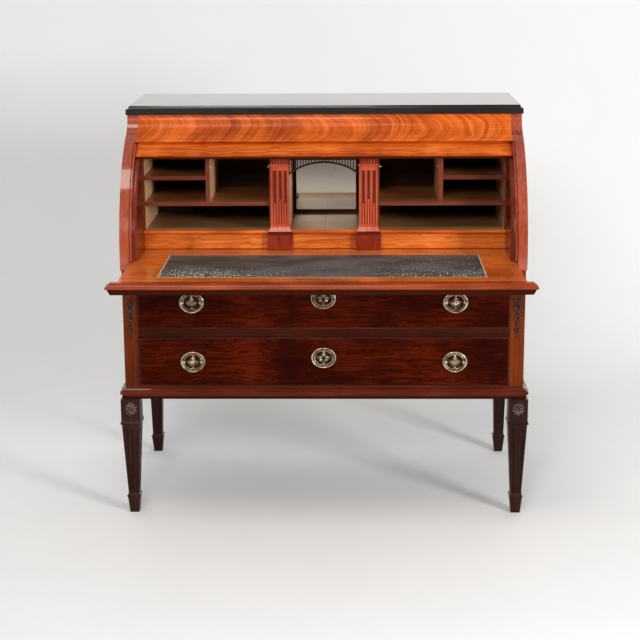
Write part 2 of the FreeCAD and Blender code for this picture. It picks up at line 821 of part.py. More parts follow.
def make_drawer(word, bottom, top, lift="0"):
    """One drawer: front, cockbead, box, bottom, brasses, lock and bolt."""
    half = f"({OPENING} - drawer_gap)"
    low, high = f"({bottom} + run_gap)", f"({top} - drawer_gap)"
    inner = f"({half} - cockbead_width)"
    front = box(word + "_front", (f"-{inner}", inner), ("0", "drawer_front"),
                (f"{low} + cockbead_width", f"{high} - cockbead_width"))
    centre = f"(({low} + {high}) / 2 + {lift})"
    key_z = f"({centre} + escutcheon_lift)"
    tunnel = cylinder(word + "_key_way", "y", "keyhole_radius", "drawer_front + 2 * overrun",
                      "0", "-overrun", key_z)
    keep(cut(word + "_front_bored", front, tunnel), word + "_drawer_front")
    outer = box(word + "_bead_block", (f"-{half}", half), ("-cockbead_projection", "drawer_front"),
                (low, high))
    hole = box(word + "_bead_hole", (f"-{inner}", inner),
               ("-cockbead_projection - overrun", "drawer_front + overrun"),
               (f"{low} + cockbead_width", f"{high} - cockbead_width"))
    keep(cut(word + "_bead", outer, hole), word + "_drawer_cockbead")
    wall = f"({half} - drawer_side)"
    back = "drawer_length"
    side_top = f"{high} - drawer_side_drop"
    sides = pair(word + "_box_side", (wall, half), ("drawer_front", back), (low, side_top))
    sides.append(box(word + "_box_back", (f"-{wall}", wall), (f"{back} - drawer_side", back),
                     (f"{low} + drawer_bottom_rise + drawer_bottom", side_top)))
    group(word + "_drawer_sides_and_back", sides)
    keep(box(word + "_bottom", (f"-{wall}", wall), ("drawer_front", back),
             (f"{low} + drawer_bottom_rise", f"{low} + drawer_bottom_rise + drawer_bottom")),
         word + "_drawer_bottom")
    make_lock(word, high, key_z)
    make_brasses(word, centre, key_z)


def make_lock(word, high, key_z):
    y0, y1 = "drawer_front", "(drawer_front + lock_depth)"
    mid = f"(({y0} + {y1}) / 2)"
    case = box(word + "_lock_case", ("-lock_width / 2", "lock_width / 2"), (y0, y1),
               (f"{high} - lock_height", high))
    slot = box(word + "_lock_slot", ("-bolt_width / 2 - bolt_gap", "bolt_width / 2 + bolt_gap"),
               (f"{mid} - bolt_depth / 2 - bolt_gap", f"{mid} + bolt_depth / 2 + bolt_gap"),
               (f"{high} - bolt_length - bolt_gap", f"{high} + overrun"))
    keep(cut(word + "_lock_body", case, slot), word + "_drawer_lock")
    keep(box(word + "_bolt", ("-bolt_width / 2", "bolt_width / 2"),
             (f"{mid} - bolt_depth / 2", f"{mid} + bolt_depth / 2"), (f"{high} - bolt_length", high)),
         word + "_lock_bolt")


OVAL_SIDES = 32
BOSS_SIDES = 10
BAIL_SIDES = 6
BAIL_STEPS = 14


def oval(width, height, low, high, centre):
    """An upright oval disc facing forward, between two depths."""
    turns = [2 * math.pi * i / OVAL_SIDES for i in range(OVAL_SIDES + 1)]
    rim = [centre + V(math.cos(turn) * width / 2, low, math.sin(turn) * height / 2) for turn in turns]
    return Part.Face(Part.makePolygon(rim)).extrude(V(0, high - low, 0))


URN_SHARES = ((0.26, 0.0), (0.26, 0.06), (0.09, 0.14), (0.12, 0.20), (0.36, 0.30), (0.50, 0.48), (0.50, 0.57),
              (0.27, 0.62), (0.25, 0.70), (0.09, 0.80), (0.11, 0.90), (0.04, 1.0))


def urn(centre, width, height, thick):
    """A flat two-handled urn, given by half widths and heights as shares of its size."""
    right = [V(centre.x + a * width, 0, centre.z + (b - 1 / 2) * height) for a, b in URN_SHARES]
    left = [V(2 * centre.x - p.x, 0, p.z) for p in reversed(right)]
    outline = Part.makePolygon(right + left + right[:1])
    return Part.Face(outline).extrude(V(0, -thick, 0))


def brass_plate(centre):
    """A pierced oval: raised rim, flat field, and an urn that spans the opening."""
    wide, tall = num("plate_width"), num("plate_height")
    thick, rim, rise = num("plate_thickness"), num("rim_width"), num("rim_rise")
    over = num("overrun")
    ring = oval(wide, tall, -thick - rise, 0, centre)
    ring = ring.cut(oval(wide - 2 * rim, tall - 2 * rim, -thick - rise - over, over, centre))
    vase = urn(centre, num("urn_width"), tall - rim, thick + num("urn_rise"))
    bar = num("urn_bar")
    span = wide - rim
    arms = Part.makeBox(span, thick, bar, V(centre.x - span / 2, -thick, centre.z - bar / 2))
    return ring.fuse([vase, arms])


def make_brasses(word, centre, key_z):
    """Two handle plates with bail bosses, and the key plate between them."""
    z = num(centre)
    spread = num("handle_spread") / 2
    reach = num("boss_spread") / 2
    radius = num("boss_radius")
    plates = []
    for side in (-1, 1):
        middle = V(side * spread, 0, z)
        plate = brass_plate(middle)
        for end in (-1, 1):
            x = middle.x + end * reach
            boss = many_sided(BOSS_SIDES, radius, V(x, 0, z), V(0, -1, 0), num("boss_length"))
            hole = Part.makeCylinder(num("bail_pin_radius + bail_pin_gap"), 2 * radius + 2 * num("overrun"),
                                     V(x - radius - num("overrun"), -num("bail_standoff"), z), V(1, 0, 0))
            plate = plate.fuse(boss).cut(hole)
        plates.append(plate)
    key = brass_plate(V(0, 0, num(key_z)))
    slot = Part.makeBox(num("keyhole_slot_width"), 3 * num("overrun"), num("keyhole_slot_length"),
                        V(-num("keyhole_slot_width") / 2, -2 * num("overrun"),
                          num(key_z) - num("keyhole_slot_length")))
    eye = Part.makeCylinder(num("keyhole_radius"), 3 * num("overrun"),
                            V(0, -2 * num("overrun"), num(key_z)), V(0, 1, 0))
    plates.append(key.cut([slot, eye]))
    brasses = doc.addObject("Part::Feature", word + "_brasses")
    brasses.Shape = Part.makeCompound(plates)
    place(brasses)
    keep(brasses, word + "_drawer_brass_plates")
    for side, hand in ((-1, "left"), (1, "right")):
        make_bail(f"{word}_{hand}_bail", V(side * spread, 0, z))


def make_bail(label, middle):
    """A drop handle: a bow of faceted rod with two pins that enter the bosses."""
    rod = num("bail_rod_radius")
    reach = num("boss_spread") / 2
    arm = reach + num("boss_radius + bail_arm_gap") + rod
    drop = num("bail_drop")
    radius = (arm * arm + drop * drop) / (2 * drop)
    pivot = V(middle.x, -num("bail_standoff"), middle.z)
    centre = pivot + V(0, 0, radius - drop)
    lean = math.atan2(radius - drop, arm)
    bow = [pivot + V(arm, 0, rod)]
    for i in range(BAIL_STEPS + 1):
        turn = lean + (math.pi - 2 * lean) * i / BAIL_STEPS
        bow.append(centre + V(math.cos(turn), 0, -math.sin(turn)) * radius)
    bow.append(pivot + V(-arm, 0, rod))
    section = ring_of(BAIL_SIDES, rod, bow[0], bow[1] - bow[0])
    shape = Part.makePolygon(bow).makePipeShell([section], True, False, 1)
    pins = []
    for end in (-1, 1):
        tip = pivot + V(end * reach, 0, 0)
        pins.append(Part.makeCylinder(num("bail_pin_radius"), arm - reach, tip, V(end, 0, 0)))
    bail = doc.addObject("Part::Feature", label)
    bail.Shape = shape.fuse(pins).removeSplitter()
    place(bail)
    keep(bail, label)


# gallery

def make_gallery():
    half = GALLERY_HALF
    depth = ("gallery_front", "gallery_back")
    make_gallery_floor(half)
    keep(box("ceiling", (f"-{half}", half),
             ("gallery_front + gallery_top_setback", "gallery_back + gallery_back_board"),
             (GALLERY_CEILING, f"{GALLERY_CEILING} + gallery_board")), "gallery_top")
    keep(box("gallery_rear", (f"-{half}", half), ("gallery_back", "gallery_back + gallery_back_board"),
             (FLOOR_TOP, GALLERY_CEILING)), "gallery_back")
    group("gallery_sides", pair("gallery_side", (f"{half} - gallery_side_board", half), depth,
                                (FLOOR_TOP, GALLERY_CEILING)))
    wall = f"({half} - gallery_side_board)"
    divider = ("divider_offset - gallery_board / 2", "divider_offset + gallery_board / 2")
    wide_top = f"({FLOOR_TOP} + wide_shelf_height)"
    shelves = pair("wide_shelf", (COLUMN_OUT, wall), depth, (f"{wide_top} - gallery_board", wide_top))
    small_top = f"({FLOOR_TOP} + small_shelf_height)"
    shelves += pair("small_shelf", (divider[1], wall), depth, (f"{small_top} - gallery_board", small_top))
    group("gallery_shelves", shelves)
    walls = pair("divider", divider, depth, (wide_top, GALLERY_CEILING))
    walls += pair("niche_wall", ("niche_half", "niche_half + wall_board"), depth,
                  (FLOOR_TOP, GALLERY_CEILING))
    walls += pair("column_wall", (f"{COLUMN_OUT} - wall_board", COLUMN_OUT), depth,
                  (FLOOR_TOP, GALLERY_CEILING))
    group("gallery_partitions", walls)
    make_plinth(half)
    for side, name in ((-1, "left"), (1, "right")):
        make_pilaster(name + "_pilaster", side)
    make_arch()
    make_mirror()
    make_pegs(divider[0])


def make_gallery_floor(half):
    """The gallery's floor board; its half-round nose stops against the pilasters."""
    body = new_body("gallery_floor_board")
    nose = "(gallery_front - gallery_floor_nose + gallery_floor / 2)"
    back = "(gallery_back + gallery_back_board)"
    path = [(nose, FLOOR_BOTTOM), (back, FLOOR_BOTTOM), (back, FLOOR_TOP), (nose, FLOOR_TOP),
            (f"{nose} - gallery_floor / 2", f"({FLOOR_BOTTOM} + {FLOOR_TOP}) / 2", "gallery_floor / 2")]
    path[0] = (*path[0], "gallery_floor / 2")
    sketch = new_sketch(body, "gallery_floor_outline", "YZ_Plane", path)
    pad(body, sketch, f"2 * {half}", symmetric=True)
    place(body)
    notches = doc.addObject("Part::Compound", "pilaster_notches")
    notches.Links = pair("pilaster_notch",
                         ("pilaster_offset - pilaster_base_width / 2",
                          "pilaster_offset + pilaster_base_width / 2"),
                         ("gallery_front - pilaster_base_depth", "gallery_front"),
                         (f"{FLOOR_BOTTOM} - overrun", f"{FLOOR_TOP} + overrun"))
    keep(cut("gallery_floor_notched", body, notches), "gallery_floor")


def make_plinth(half):
    y = ("gallery_front", "gallery_front + plinth_board")
    z = (GALLERY_BOTTOM, FLOOR_BOTTOM)
    block = ("pilaster_offset - plinth_block_width / 2", "pilaster_offset + plinth_block_width / 2")
    panels = pair("plinth_panel", (block[1], half), y, z)
    panels.append(box("plinth_centre", (f"-({block[0]})", block[0]), y, z))
    group("plinth_panels", panels)
    group("plinth_blocks", pair("plinth_block", block,
                                ("gallery_front - plinth_block_depth", "gallery_front + plinth_board"), z))


def make_pilaster(label, side):
    """A flat fluted column: plate, flare, fillet, cabled shaft and flared cap."""
    bottom, ceiling = num(FLOOR_BOTTOM), num(GALLERY_CEILING)
    wide, deep = num("pilaster_width"), num("pilaster_depth")
    base_wide, base_deep = num("pilaster_base_width"), num("pilaster_base_depth")
    base_plate = bottom + num("pilaster_base_plate")
    base_top = bottom + num("pilaster_base_height")
    fillet_low = base_top - num("pilaster_base_fillet")
    fillet_proud = num("pilaster_base_fillet_proud")
    fillet_wide, fillet_deep = wide + 2 * fillet_proud, deep + fillet_proud
    cap_low = ceiling - num("pilaster_cap_height")
    cap_ridge = cap_low + num("pilaster_cap_rise")
    cap_wide = num("pilaster_cap_width")
    cap_deep = deep + (cap_wide - wide) / 2
    neck_wide = num("pilaster_neck_width")
    neck_deep = deep - (wide - neck_wide) / 2
    neck_low = cap_ridge + num("pilaster_cap_plate")

    def flare(w0, d0, w1, d1, z0, z1):
        return taper((w0, -d0, 0), (w1, -d1, 0), z0, z1)

    shape = flare(base_wide, base_deep, base_wide, base_deep, bottom, base_plate)
    shape = shape.fuse([flare(base_wide, base_deep, wide, deep, base_plate, fillet_low),
                        flare(fillet_wide, fillet_deep, fillet_wide, fillet_deep, fillet_low, base_top),
                        flare(wide, deep, wide, deep, base_top, cap_low),
                        flare(wide, deep, cap_wide, cap_deep, cap_low, cap_ridge),
                        flare(cap_wide, cap_deep, cap_wide, cap_deep, cap_ridge, neck_low),
                        flare(neck_wide, neck_deep, neck_wide, neck_deep, neck_low, ceiling)])
    slot, depth = num("neck_slot_width"), num("neck_slot_depth")
    pitch = neck_wide / NECK_SLOTS
    slots = []
    for i in range(NECK_SLOTS):
        x = (i + 1 / 2) * pitch - neck_wide / 2 - slot / 2
        slots.append(Part.makeBox(slot, 2 * depth, ceiling - neck_low, V(x, -neck_deep - depth, neck_low)))
    shape = shape.cut(slots)
    end = num("pilaster_flute_end")
    low, high = base_top + end / 2, cap_low - end - num("pilaster_flute_radius")
    grooves, rods = [], []
    for share in FLUTE_SHARES:
        lift = end * 2 if share == 0 else 0
        groove, rod = cabled_flute(V(share * wide, -deep, low), V(share * wide, -deep, high), V(0, -1, 0),
                                   num("pilaster_flute_radius"), num("pilaster_flute_depth"),
                                   num("pilaster_cable_height") + lift)
        grooves.append(groove)
        rods.append(rod)
    shape = shape.cut(grooves).fuse(rods).removeSplitter()
    pilaster = doc.addObject("Part::Feature", label)
    pilaster.Shape = shape
    place(pilaster, f"{side} * pilaster_offset", "gallery_front")
    keep(pilaster, label)


def make_arch():
    """A low arch across the niche, with upright bars between it and its head."""
    front, back = "gallery_front", "(gallery_front + arch_thickness)"
    low, high = f"({GALLERY_CEILING} - arch_height)", GALLERY_CEILING
    radius = "((niche_half^2 + arch_rise^2) / (2 * arch_rise))"
    centre = f"({low} + arch_rise - {radius})"
    plate = box("arch_plate", ("-niche_half", "niche_half"), (front, back), (low, high))
    under = cylinder("arch_under", "y", radius, "arch_thickness + 2 * overrun", "0", f"{front} - overrun",
                     centre)
    slots = []
    pitch = num("arch_bar + arch_slot")
    count = int((num("niche_half") - num("arch_bar")) / pitch)
    for i in range(-count, count + 1):
        middle = f"{i} * (arch_bar + arch_slot)"
        slots.append(box(f"arch_slot_{i + count}", (f"{middle} - arch_slot / 2", f"{middle} + arch_slot / 2"),
                         (f"{front} - overrun", f"{back} + overrun"), (low, f"{high} - arch_head")))
    bundle = doc.addObject("Part::Compound", "arch_slots")
    bundle.Links = slots
    band = cylinder("arch_band_top", "y", f"{radius} + arch_band", "arch_thickness + 4 * overrun", "0",
                    f"{front} - 2 * overrun", centre)
    gaps = cut("arch_gaps", bundle, band)
    keep(cut("niche_arch_cut", cut("arch_open", plate, under), gaps), "niche_arch")


def make_mirror():
    frame = "mirror_frame_width"
    y0 = "(gallery_back - mirror_frame_depth)"
    low, high = FLOOR_TOP, GALLERY_CEILING
    outer = box("mirror_outer", ("-niche_half", "niche_half"), (y0, "gallery_back"), (low, high))
    wide = ("-niche_half + mirror_stile_width", "niche_half - mirror_stile_width")
    tall = (f"{low} + {frame}", f"{high} - mirror_stile_width")
    inner = box("mirror_inner", wide, (f"{y0} - overrun", "gallery_back + overrun"), tall)
    keep(cut("mirror_border", outer, inner), "mirror_frame")
    keep(box("mirror", wide, ("gallery_back - mirror_thickness", "gallery_back"), tall), "niche_mirror")


PEG_SIDES = 8


def make_pegs(divider_face):
    z = f"({GALLERY_CEILING} - peg_drop)"
    y = "gallery_front + peg_setback"
    pegs = []
    for i, start in enumerate((f"-({divider_face})", f"-({COLUMN_OUT}) - peg_length",
                               COLUMN_OUT, f"{divider_face} - peg_length")):
        peg = doc.addObject("Part::Prism", f"peg_{i}")
        peg.Polygon = PEG_SIDES
        peg.setExpression("Circumradius", bind("peg_radius"))
        peg.setExpression("Height", bind("peg_length"))
        peg.Placement = FreeCAD.Placement(V(0, 0, 0), FreeCAD.Rotation(V(0, 1, 0), 90))
        place(peg, start, y, z)
        pegs.append(peg)
    group("compartment_pegs", pegs)


make_carcass()
for hand, sign in (("left", -1), ("right", 1)):
    make_front_leg(f"front_{hand}_leg", sign)
    make_back_leg(f"back_{hand}_leg", sign)
    make_cheek(f"{hand}_cheek", sign)
    make_lining(f"{hand}_lining", sign)
make_bead_strips()
make_frieze()
make_slab()
make_roll()
make_slide()
make_drawer("lower", "base_top", LOWER_TOP)
make_drawer("upper", UPPER_BOTTOM, UPPER_TOP, "upper_handle_lift")
make_gallery()

doc.recompute()

faults = [obj.Name for obj in doc.Objects if "Invalid" in obj.State or "Error" in obj.State]
faults += [obj.Label for obj in nodes if obj.Shape.isNull() or not obj.Shape.isValid()]
if faults:
    raise RuntimeError("failed objects: " + ", ".join(faults))

os.makedirs("parts", exist_ok=True)
for obj in nodes:
    obj.Shape.exportStep(f"parts/{obj.Label}.step")
print(len(nodes), "sub-parts written")
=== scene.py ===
import math

import bmesh
import bpy
from mathutils import Matrix, Vector


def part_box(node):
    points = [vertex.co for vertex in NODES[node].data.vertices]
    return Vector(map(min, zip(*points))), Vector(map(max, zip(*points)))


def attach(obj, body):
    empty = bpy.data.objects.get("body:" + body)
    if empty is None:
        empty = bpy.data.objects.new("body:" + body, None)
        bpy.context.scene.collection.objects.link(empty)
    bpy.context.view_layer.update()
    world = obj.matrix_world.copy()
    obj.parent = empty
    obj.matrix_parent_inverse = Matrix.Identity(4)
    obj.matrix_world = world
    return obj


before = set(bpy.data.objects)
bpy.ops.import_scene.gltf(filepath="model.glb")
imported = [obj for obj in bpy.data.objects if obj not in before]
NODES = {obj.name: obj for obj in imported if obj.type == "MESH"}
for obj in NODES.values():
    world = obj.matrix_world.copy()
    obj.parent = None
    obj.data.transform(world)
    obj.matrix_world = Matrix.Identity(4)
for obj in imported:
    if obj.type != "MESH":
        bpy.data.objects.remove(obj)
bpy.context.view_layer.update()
MM = 0.001


class Socket:
    """An output socket that takes part in Python sums."""

    def __init__(self, paint, link):
        self.paint = paint
        self.link = link

    def _math(self, operation, *values):
        return self.paint.node("ShaderNodeMath", {"operation": operation}, dict(enumerate(values)))

    def __add__(self, other):
        return self._math("ADD", self, other)

    def __radd__(self, other):
        return self._math("ADD", other, self)

    def __sub__(self, other):
        return self._math("SUBTRACT", self, other)

    def __rsub__(self, other):
        return self._math("SUBTRACT", other, self)

    def __mul__(self, other):
        return self._math("MULTIPLY", self, other)

    def __rmul__(self, other):
        return self._math("MULTIPLY", other, self)

    def __abs__(self):
        return self._math("ABSOLUTE", self)

    def smallest(self, other):
        return self._math("MINIMUM", self, other)


class Finish:
    """One material and the nodes that paint it."""

    def __init__(self, name):
        self.material = bpy.data.materials.new(name)
        self.material.use_nodes = True
        self.tree = self.material.node_tree
        self.shader = self.tree.nodes["Principled BSDF"]
        self.place = self.node("ShaderNodeTexCoord", output="Object")

    def node(self, kind, settings=None, values=None, output=0):
        """A node with its settings made first and its sockets set or linked; gives one output."""
        made = self.tree.nodes.new(kind)
        for key, value in (settings or {}).items():
            if key == "stops":
                ramp = made.color_ramp
                while len(ramp.elements) < len(value):
                    ramp.elements.new(0.5)
                for element, (position, colour) in zip(ramp.elements, value):
                    element.position = position
                    element.color = (*colour, 1)
            else:
                setattr(made, key, value)
        for key, value in (values or {}).items():
            if isinstance(value, Socket):
                self.tree.links.new(value.link, made.inputs[key])
            else:
                made.inputs[key].default_value = value
        return Socket(self, made.outputs[output])

    def feed(self, **links):
        """Sets or links the shader's own sockets."""
        for name, value in links.items():
            target = self.shader.inputs[name.replace("_", " ")]
            if isinstance(value, Socket):
                self.tree.links.new(value.link, target)
            else:
                target.default_value = value

    def parts(self, vector=None):
        """The x, y and z of a vector, the object's own place by default."""
        split = self.tree.nodes.new("ShaderNodeSeparateXYZ")
        self.tree.links.new((vector or self.place).link, split.inputs[0])
        return [Socket(self, out) for out in split.outputs]

    def stretched(self, scale, shift=(0, 0, 0)):
        return self.node("ShaderNodeMapping", {},
                         {"Vector": self.place, "Scale": scale, "Location": shift})

    def noise(self, vector, detail=4.0, rough=0.55, twist=0.0):
        return self.node("ShaderNodeTexNoise", {},
                         {"Vector": vector, "Scale": 1.0, "Detail": detail, "Roughness": rough,
                          "Distortion": twist})

    def ramp(self, value, low, high):
        """0 at low, 1 at high, smooth between; low may be the larger."""
        return self.node("ShaderNodeMapRange", {"interpolation_type": "SMOOTHSTEP"},
                         {"Value": value, "From Min": low, "From Max": high})

    def tones(self, value, colours):
        """A run of colours spread evenly over 0 to 1."""
        last = len(colours) - 1
        stops = [(i / last, colour) for i, colour in enumerate(colours)]
        return self.node("ShaderNodeValToRGB", {"stops": stops}, {0: value})

    def mix(self, factor, first, second):
        """From the first colour to the second as the factor goes from 0 to 1."""
        made = self.tree.nodes.new("ShaderNodeMix")
        made.data_type = "RGBA"
        for key, value in ((0, factor), (6, first), (7, second)):
            if isinstance(value, Socket):
                self.tree.links.new(value.link, made.inputs[key])
            else:
                made.inputs[key].default_value = value if key == 0 else (*value, 1)
        return Socket(self, made.outputs[2])

    def bump(self, height, strength, distance):
        return self.node("ShaderNodeBump", {},
                         {"Height": height, "Strength": strength, "Distance": distance})


GRAIN = {"x": (0, 1, 1), "y": (1, 0, 1), "z": (1, 1, 0)}
# Waves to the metre, along the grain and across it.
GROWTH_BANDS = (3.2, 120)
FINE_LINES = (9, 620)
# How far the sway pushes the bands of plain wood, and how much further with figure.
PLAIN_SWAY = 1.5
FIGURE_SWAY = 16
# An arched figure: its curve, its bands to the metre, and its drift in y and z.
ARCH_CURVE = 22
ARCH_BANDS = 80
ARCH_DRIFT = (3, 6)
# Where a noise counts as a peak: a pore, or a spot that wear has rubbed, which on the carvings is
# also a painted highlight.
PEAKS = (0.60, 0.72)
# The tone about which the spread parts dark and light.
TONE_MIDDLE = 0.54
PORE_STRENGTH = 0.4
PORE_SHADE = 0.5
JOINT_SHADE = 0.2
LINING_BLUR = 0.4 * MM
# How far a face must look up to hold the thicker wax of a ledge.
LEDGE_TURN = (0.25, 0.75)
COAT_ROUGHNESS = 0.08


def along_grain(along, waves):
    """A scale that stretches a pattern along one axis."""
    run, across = waves
    return tuple(across if crosses else run for crosses in GRAIN[along])


def shade(colour, share):
    return tuple(c * share for c in colour)


def straight_figure(finish, sway, along, figure, shift):
    """Places for bands that run with the grain and are pushed about by the sway."""
    push = finish.node("ShaderNodeCombineXYZ", {}, {0: sway, 1: sway, 2: sway})
    bands = finish.stretched(along_grain(along, GROWTH_BANDS), shift)
    return finish.node("ShaderNodeVectorMath", {"operation": "MULTIPLY_ADD"},
                       {0: push, 1: (PLAIN_SWAY + FIGURE_SWAY * figure,) * 3, 2: bands})


def arched_figure(finish, sway, flame):
    """Places for bands that arch across the board about an x and z."""
    x, y, z = finish.parts()
    rise = z - flame[1]
    arch = (abs(x - flame[0]) + ARCH_CURVE * rise * rise) * ARCH_BANDS + sway * FIGURE_SWAY
    return finish.node("ShaderNodeCombineXYZ", {},
                       {0: arch, 1: y * ARCH_DRIFT[0], 2: z * ARCH_DRIFT[1]})


def wood(name, tones, along="x", figure=0.0, gloss=0.22, sheen=0.08, coat=0.15,
         ledge_coat=None, wear_and_highlight=0.0, seed=0.0, lining=None, seam=None, stains_and_shade=(), flame=None,
         ripple=2.6, spread=0.25):
    """Polished timber: figure, growth bands, pores and a waxed sheen.

    A lining is (tones, y): behind that y the board shows its other timber. A seam
    is (half width, y): a dark joint down the middle of the floor behind that y.
    A stain is (axis, clear, full, colour): a darker colour from one place to
    another, mostly painted shade in hollows and under edges, elsewhere the
    wood's own darker stain. A ledge coat is the thicker wax on faces that look up.
    A flame is the (x, z) about which the figure arches across the board. A ripple
    is how many waves to the metre the figure has, and a small spread parts the
    dark and light tones more sharply.
    """
    finish = Finish(name)
    dark, _, light = tones
    shift = (seed, seed * 1.7, seed * 0.6)
    sway = finish.noise(finish.stretched((ripple,) * 3, shift), 3.0)
    if flame:
        bands_at = arched_figure(finish, sway, flame)
    else:
        bands_at = straight_figure(finish, sway, along, figure, shift)
    bands = finish.noise(bands_at, 5.0, 0.62, 0.2 + 0.5 * figure)
    hair = finish.noise(finish.stretched(along_grain(along, FINE_LINES), shift), 3.0, 0.6)
    pores = finish.ramp(hair, *PEAKS)
    cloud = finish.noise(finish.stretched((5, 5, 5), shift), 2.0)
    tone = finish.ramp(bands * 0.46 + cloud * 0.38 + hair * 0.24,
                       TONE_MIDDLE - spread, TONE_MIDDLE + spread)
    colour = finish.tones(tone, tones)
    if lining:
        inner, start = lining
        _, y, _ = finish.parts()
        colour = finish.mix(finish.ramp(y, start, start + LINING_BLUR), colour,
                            finish.tones(tone, inner))
    if seam:
        half, start = seam
        x, y, _ = finish.parts()
        joint = (1 - finish.ramp(abs(x), half, half * 2)) * finish.ramp(y, start, start + MM)
        colour = finish.mix(joint, colour, shade(dark, JOINT_SHADE))
    colour = finish.mix(pores * PORE_STRENGTH, colour, shade(dark, PORE_SHADE))
    rubbed_and_highlight = finish.noise(finish.stretched((14, 14, 14), shift), 5.0, 0.7)
    # Rubbed spots take the light tone: real wear, and on the carved rosettes a painted highlight.
    if wear_and_highlight:
        colour = finish.mix(finish.ramp(rubbed_and_highlight, *PEAKS) * wear_and_highlight, colour, light)
    # Each stain darkens the colour from one place to another: mostly painted shade in hollows and
    # under edges, elsewhere the wood's own darker stain.
    for axis, clear, full, stain_and_shade_colour in stains_and_shade:
        place = finish.parts()["xyz".index(axis)]
        colour = finish.mix(finish.ramp(place, clear, full), colour, stain_and_shade_colour)
    finish.feed(Base_Color=colour, Roughness=gloss + 0.10 * rubbed_and_highlight + 0.12 * pores,
                Normal=finish.bump(bands * 0.3 - pores, 0.10, 0.5 * MM))
    if ledge_coat:
        _, _, up = finish.parts(finish.node("ShaderNodeTexCoord", output="Normal"))
        coat = coat + (ledge_coat - coat) * finish.ramp(up, *LEDGE_TURN)
    finish.feed(Coat_Weight=coat, Coat_Roughness=COAT_ROUGHNESS, Specular_IOR_Level=sheen)
    return finish.material


BRASS_RUBBED = (0.86, 0.73, 0.53)
BRASS_TARNISH = (0.28, 0.205, 0.125)
BRASS_GROUND = (0.040, 0.027, 0.015)


def aged_brass():
    """Old brass: dark in the ground of the plates, brown in patches, pale where it is rubbed."""
    finish = Finish("aged_brass")
    cloud = finish.noise(finish.stretched((60, 60, 60)), 5.0, 0.6)
    specks = finish.noise(finish.stretched((420, 420, 420)), 3.0)
    tarnish = finish.ramp(cloud * 0.7 + specks * 0.3, 0.40, 0.60)
    colour = finish.mix(tarnish, BRASS_RUBBED, BRASS_TARNISH)
    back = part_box("upper_drawer_brass_plates")[1].y
    _, y, _ = finish.parts()
    behind_rim = finish.ramp(y, back - 5.1 * MM, back - 4.3 * MM)
    ground = behind_rim * (1 - finish.ramp(y, back, back + MM))
    colour = finish.mix(ground * 0.9, colour, BRASS_GROUND)
    finish.feed(Base_Color=colour, Metallic=1.0, Roughness=0.24 + 0.25 * tarnish,
                Normal=finish.bump(specks, 0.10, 0.4 * MM))
    return finish.material


STEEL_BRIGHT = (0.42, 0.41, 0.39)
STEEL_RUST = (0.16, 0.08, 0.04)


def filed_steel():
    """Lock steel with file marks and a little rust."""
    finish = Finish("filed_steel")
    marks = finish.noise(finish.stretched((30, 900, 300)), 3.0)
    rust = finish.ramp(finish.noise(finish.stretched((40, 40, 40)), 5.0), 0.5, 0.75)
    finish.feed(Base_Color=finish.mix(rust, STEEL_BRIGHT, STEEL_RUST), Metallic=0.9,
                Roughness=0.34 + 0.3 * rust, Normal=finish.bump(marks, 0.1, 0.3 * MM))
    return finish.material


SILVER_DULL = (0.40, 0.33, 0.26)
SILVER_CLEAR = (0.53, 0.46, 0.38)
SILVER_FOXED = (0.16, 0.12, 0.09)


def old_mirror():
    """Silvered glass, browned with age and a little foxed."""
    finish = Finish("old_mirror")
    fox = finish.ramp(finish.noise(finish.stretched((45, 45, 45)), 6.0, 0.65), 0.60, 0.78)
    haze = finish.noise(finish.stretched((9, 9, 9)), 3.0)
    silver = finish.mix(haze, SILVER_DULL, SILVER_CLEAR)
    finish.feed(Base_Color=finish.mix(fox, silver, SILVER_FOXED), Metallic=1.0,
                Roughness=0.035 + 0.25 * fox)
    return finish.material


HIDE_DARK = (0.046, 0.047, 0.044)
HIDE_GREY = (0.128, 0.125, 0.114)
HIDE_RUBBED = (0.15, 0.12, 0.09)
HIDE_FLECK = (0.74, 0.70, 0.58)
GILT = (0.66, 0.46, 0.30)


def tooled_leather():
    """Slate-dark hide, crazed, flecked where it is worn, with a gilt line at its edge."""
    finish = Finish("tooled_leather")
    low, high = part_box("leather_inset")
    x, y, _ = finish.parts()
    edge = (x - low.x).smallest(high.x - x).smallest((y - low.y).smallest(high.y - y))
    cells = finish.node("ShaderNodeTexVoronoi", {"feature": "DISTANCE_TO_EDGE"},
                        {"Vector": finish.stretched((300, 300, 300)), "Scale": 1.0})
    crack = 1 - finish.ramp(cells, 0.0, 0.12)
    cloud = finish.noise(finish.stretched((7, 12, 9)), 6.0, 0.65)
    rub = finish.noise(finish.stretched((30, 60, 16)), 6.0, 0.72)
    speck = finish.noise(finish.stretched((190, 64, 120)), 3.0, 0.65)
    near_front = 1 - finish.ramp(y - low.y, 0.020, 0.210)
    leftward = 1 - finish.ramp(x, -0.34, 0.06)
    rightward = finish.ramp(x, 0.10, 0.24) * (1 - finish.ramp(x, 0.40, 0.47))
    worn = near_front * (0.30 + 0.70 * leftward) + 0.35 * rightward
    fleck = finish.ramp(speck + 0.12 * worn + 0.34 * (rub - 0.5), 0.66, 0.70)
    hide = finish.mix(finish.ramp(cloud, 0.35, 0.7), HIDE_DARK, HIDE_GREY)
    hide = finish.mix(finish.ramp(rub, 0.60, 0.80) * 0.5, hide, HIDE_RUBBED)
    hide = finish.mix(fleck * (0.30 + 0.70 * worn), hide, HIDE_FLECK)
    outside = finish.ramp(edge, 0.6 * MM, 1.2 * MM)
    line = outside * (1 - finish.ramp(edge, 4.0 * MM, 5.0 * MM))
    colour = finish.mix(line * finish.ramp(rub, 0.22, 0.40), hide, GILT)
    finish.feed(Base_Color=colour, Roughness=0.40 + 0.2 * cloud + 0.1 * fleck,
                Normal=finish.bump(cloud * 0.4 - crack * 0.5 - fleck * 0.3, 0.22, 0.6 * MM),
                Specular_IOR_Level=0.25)
    return finish.material


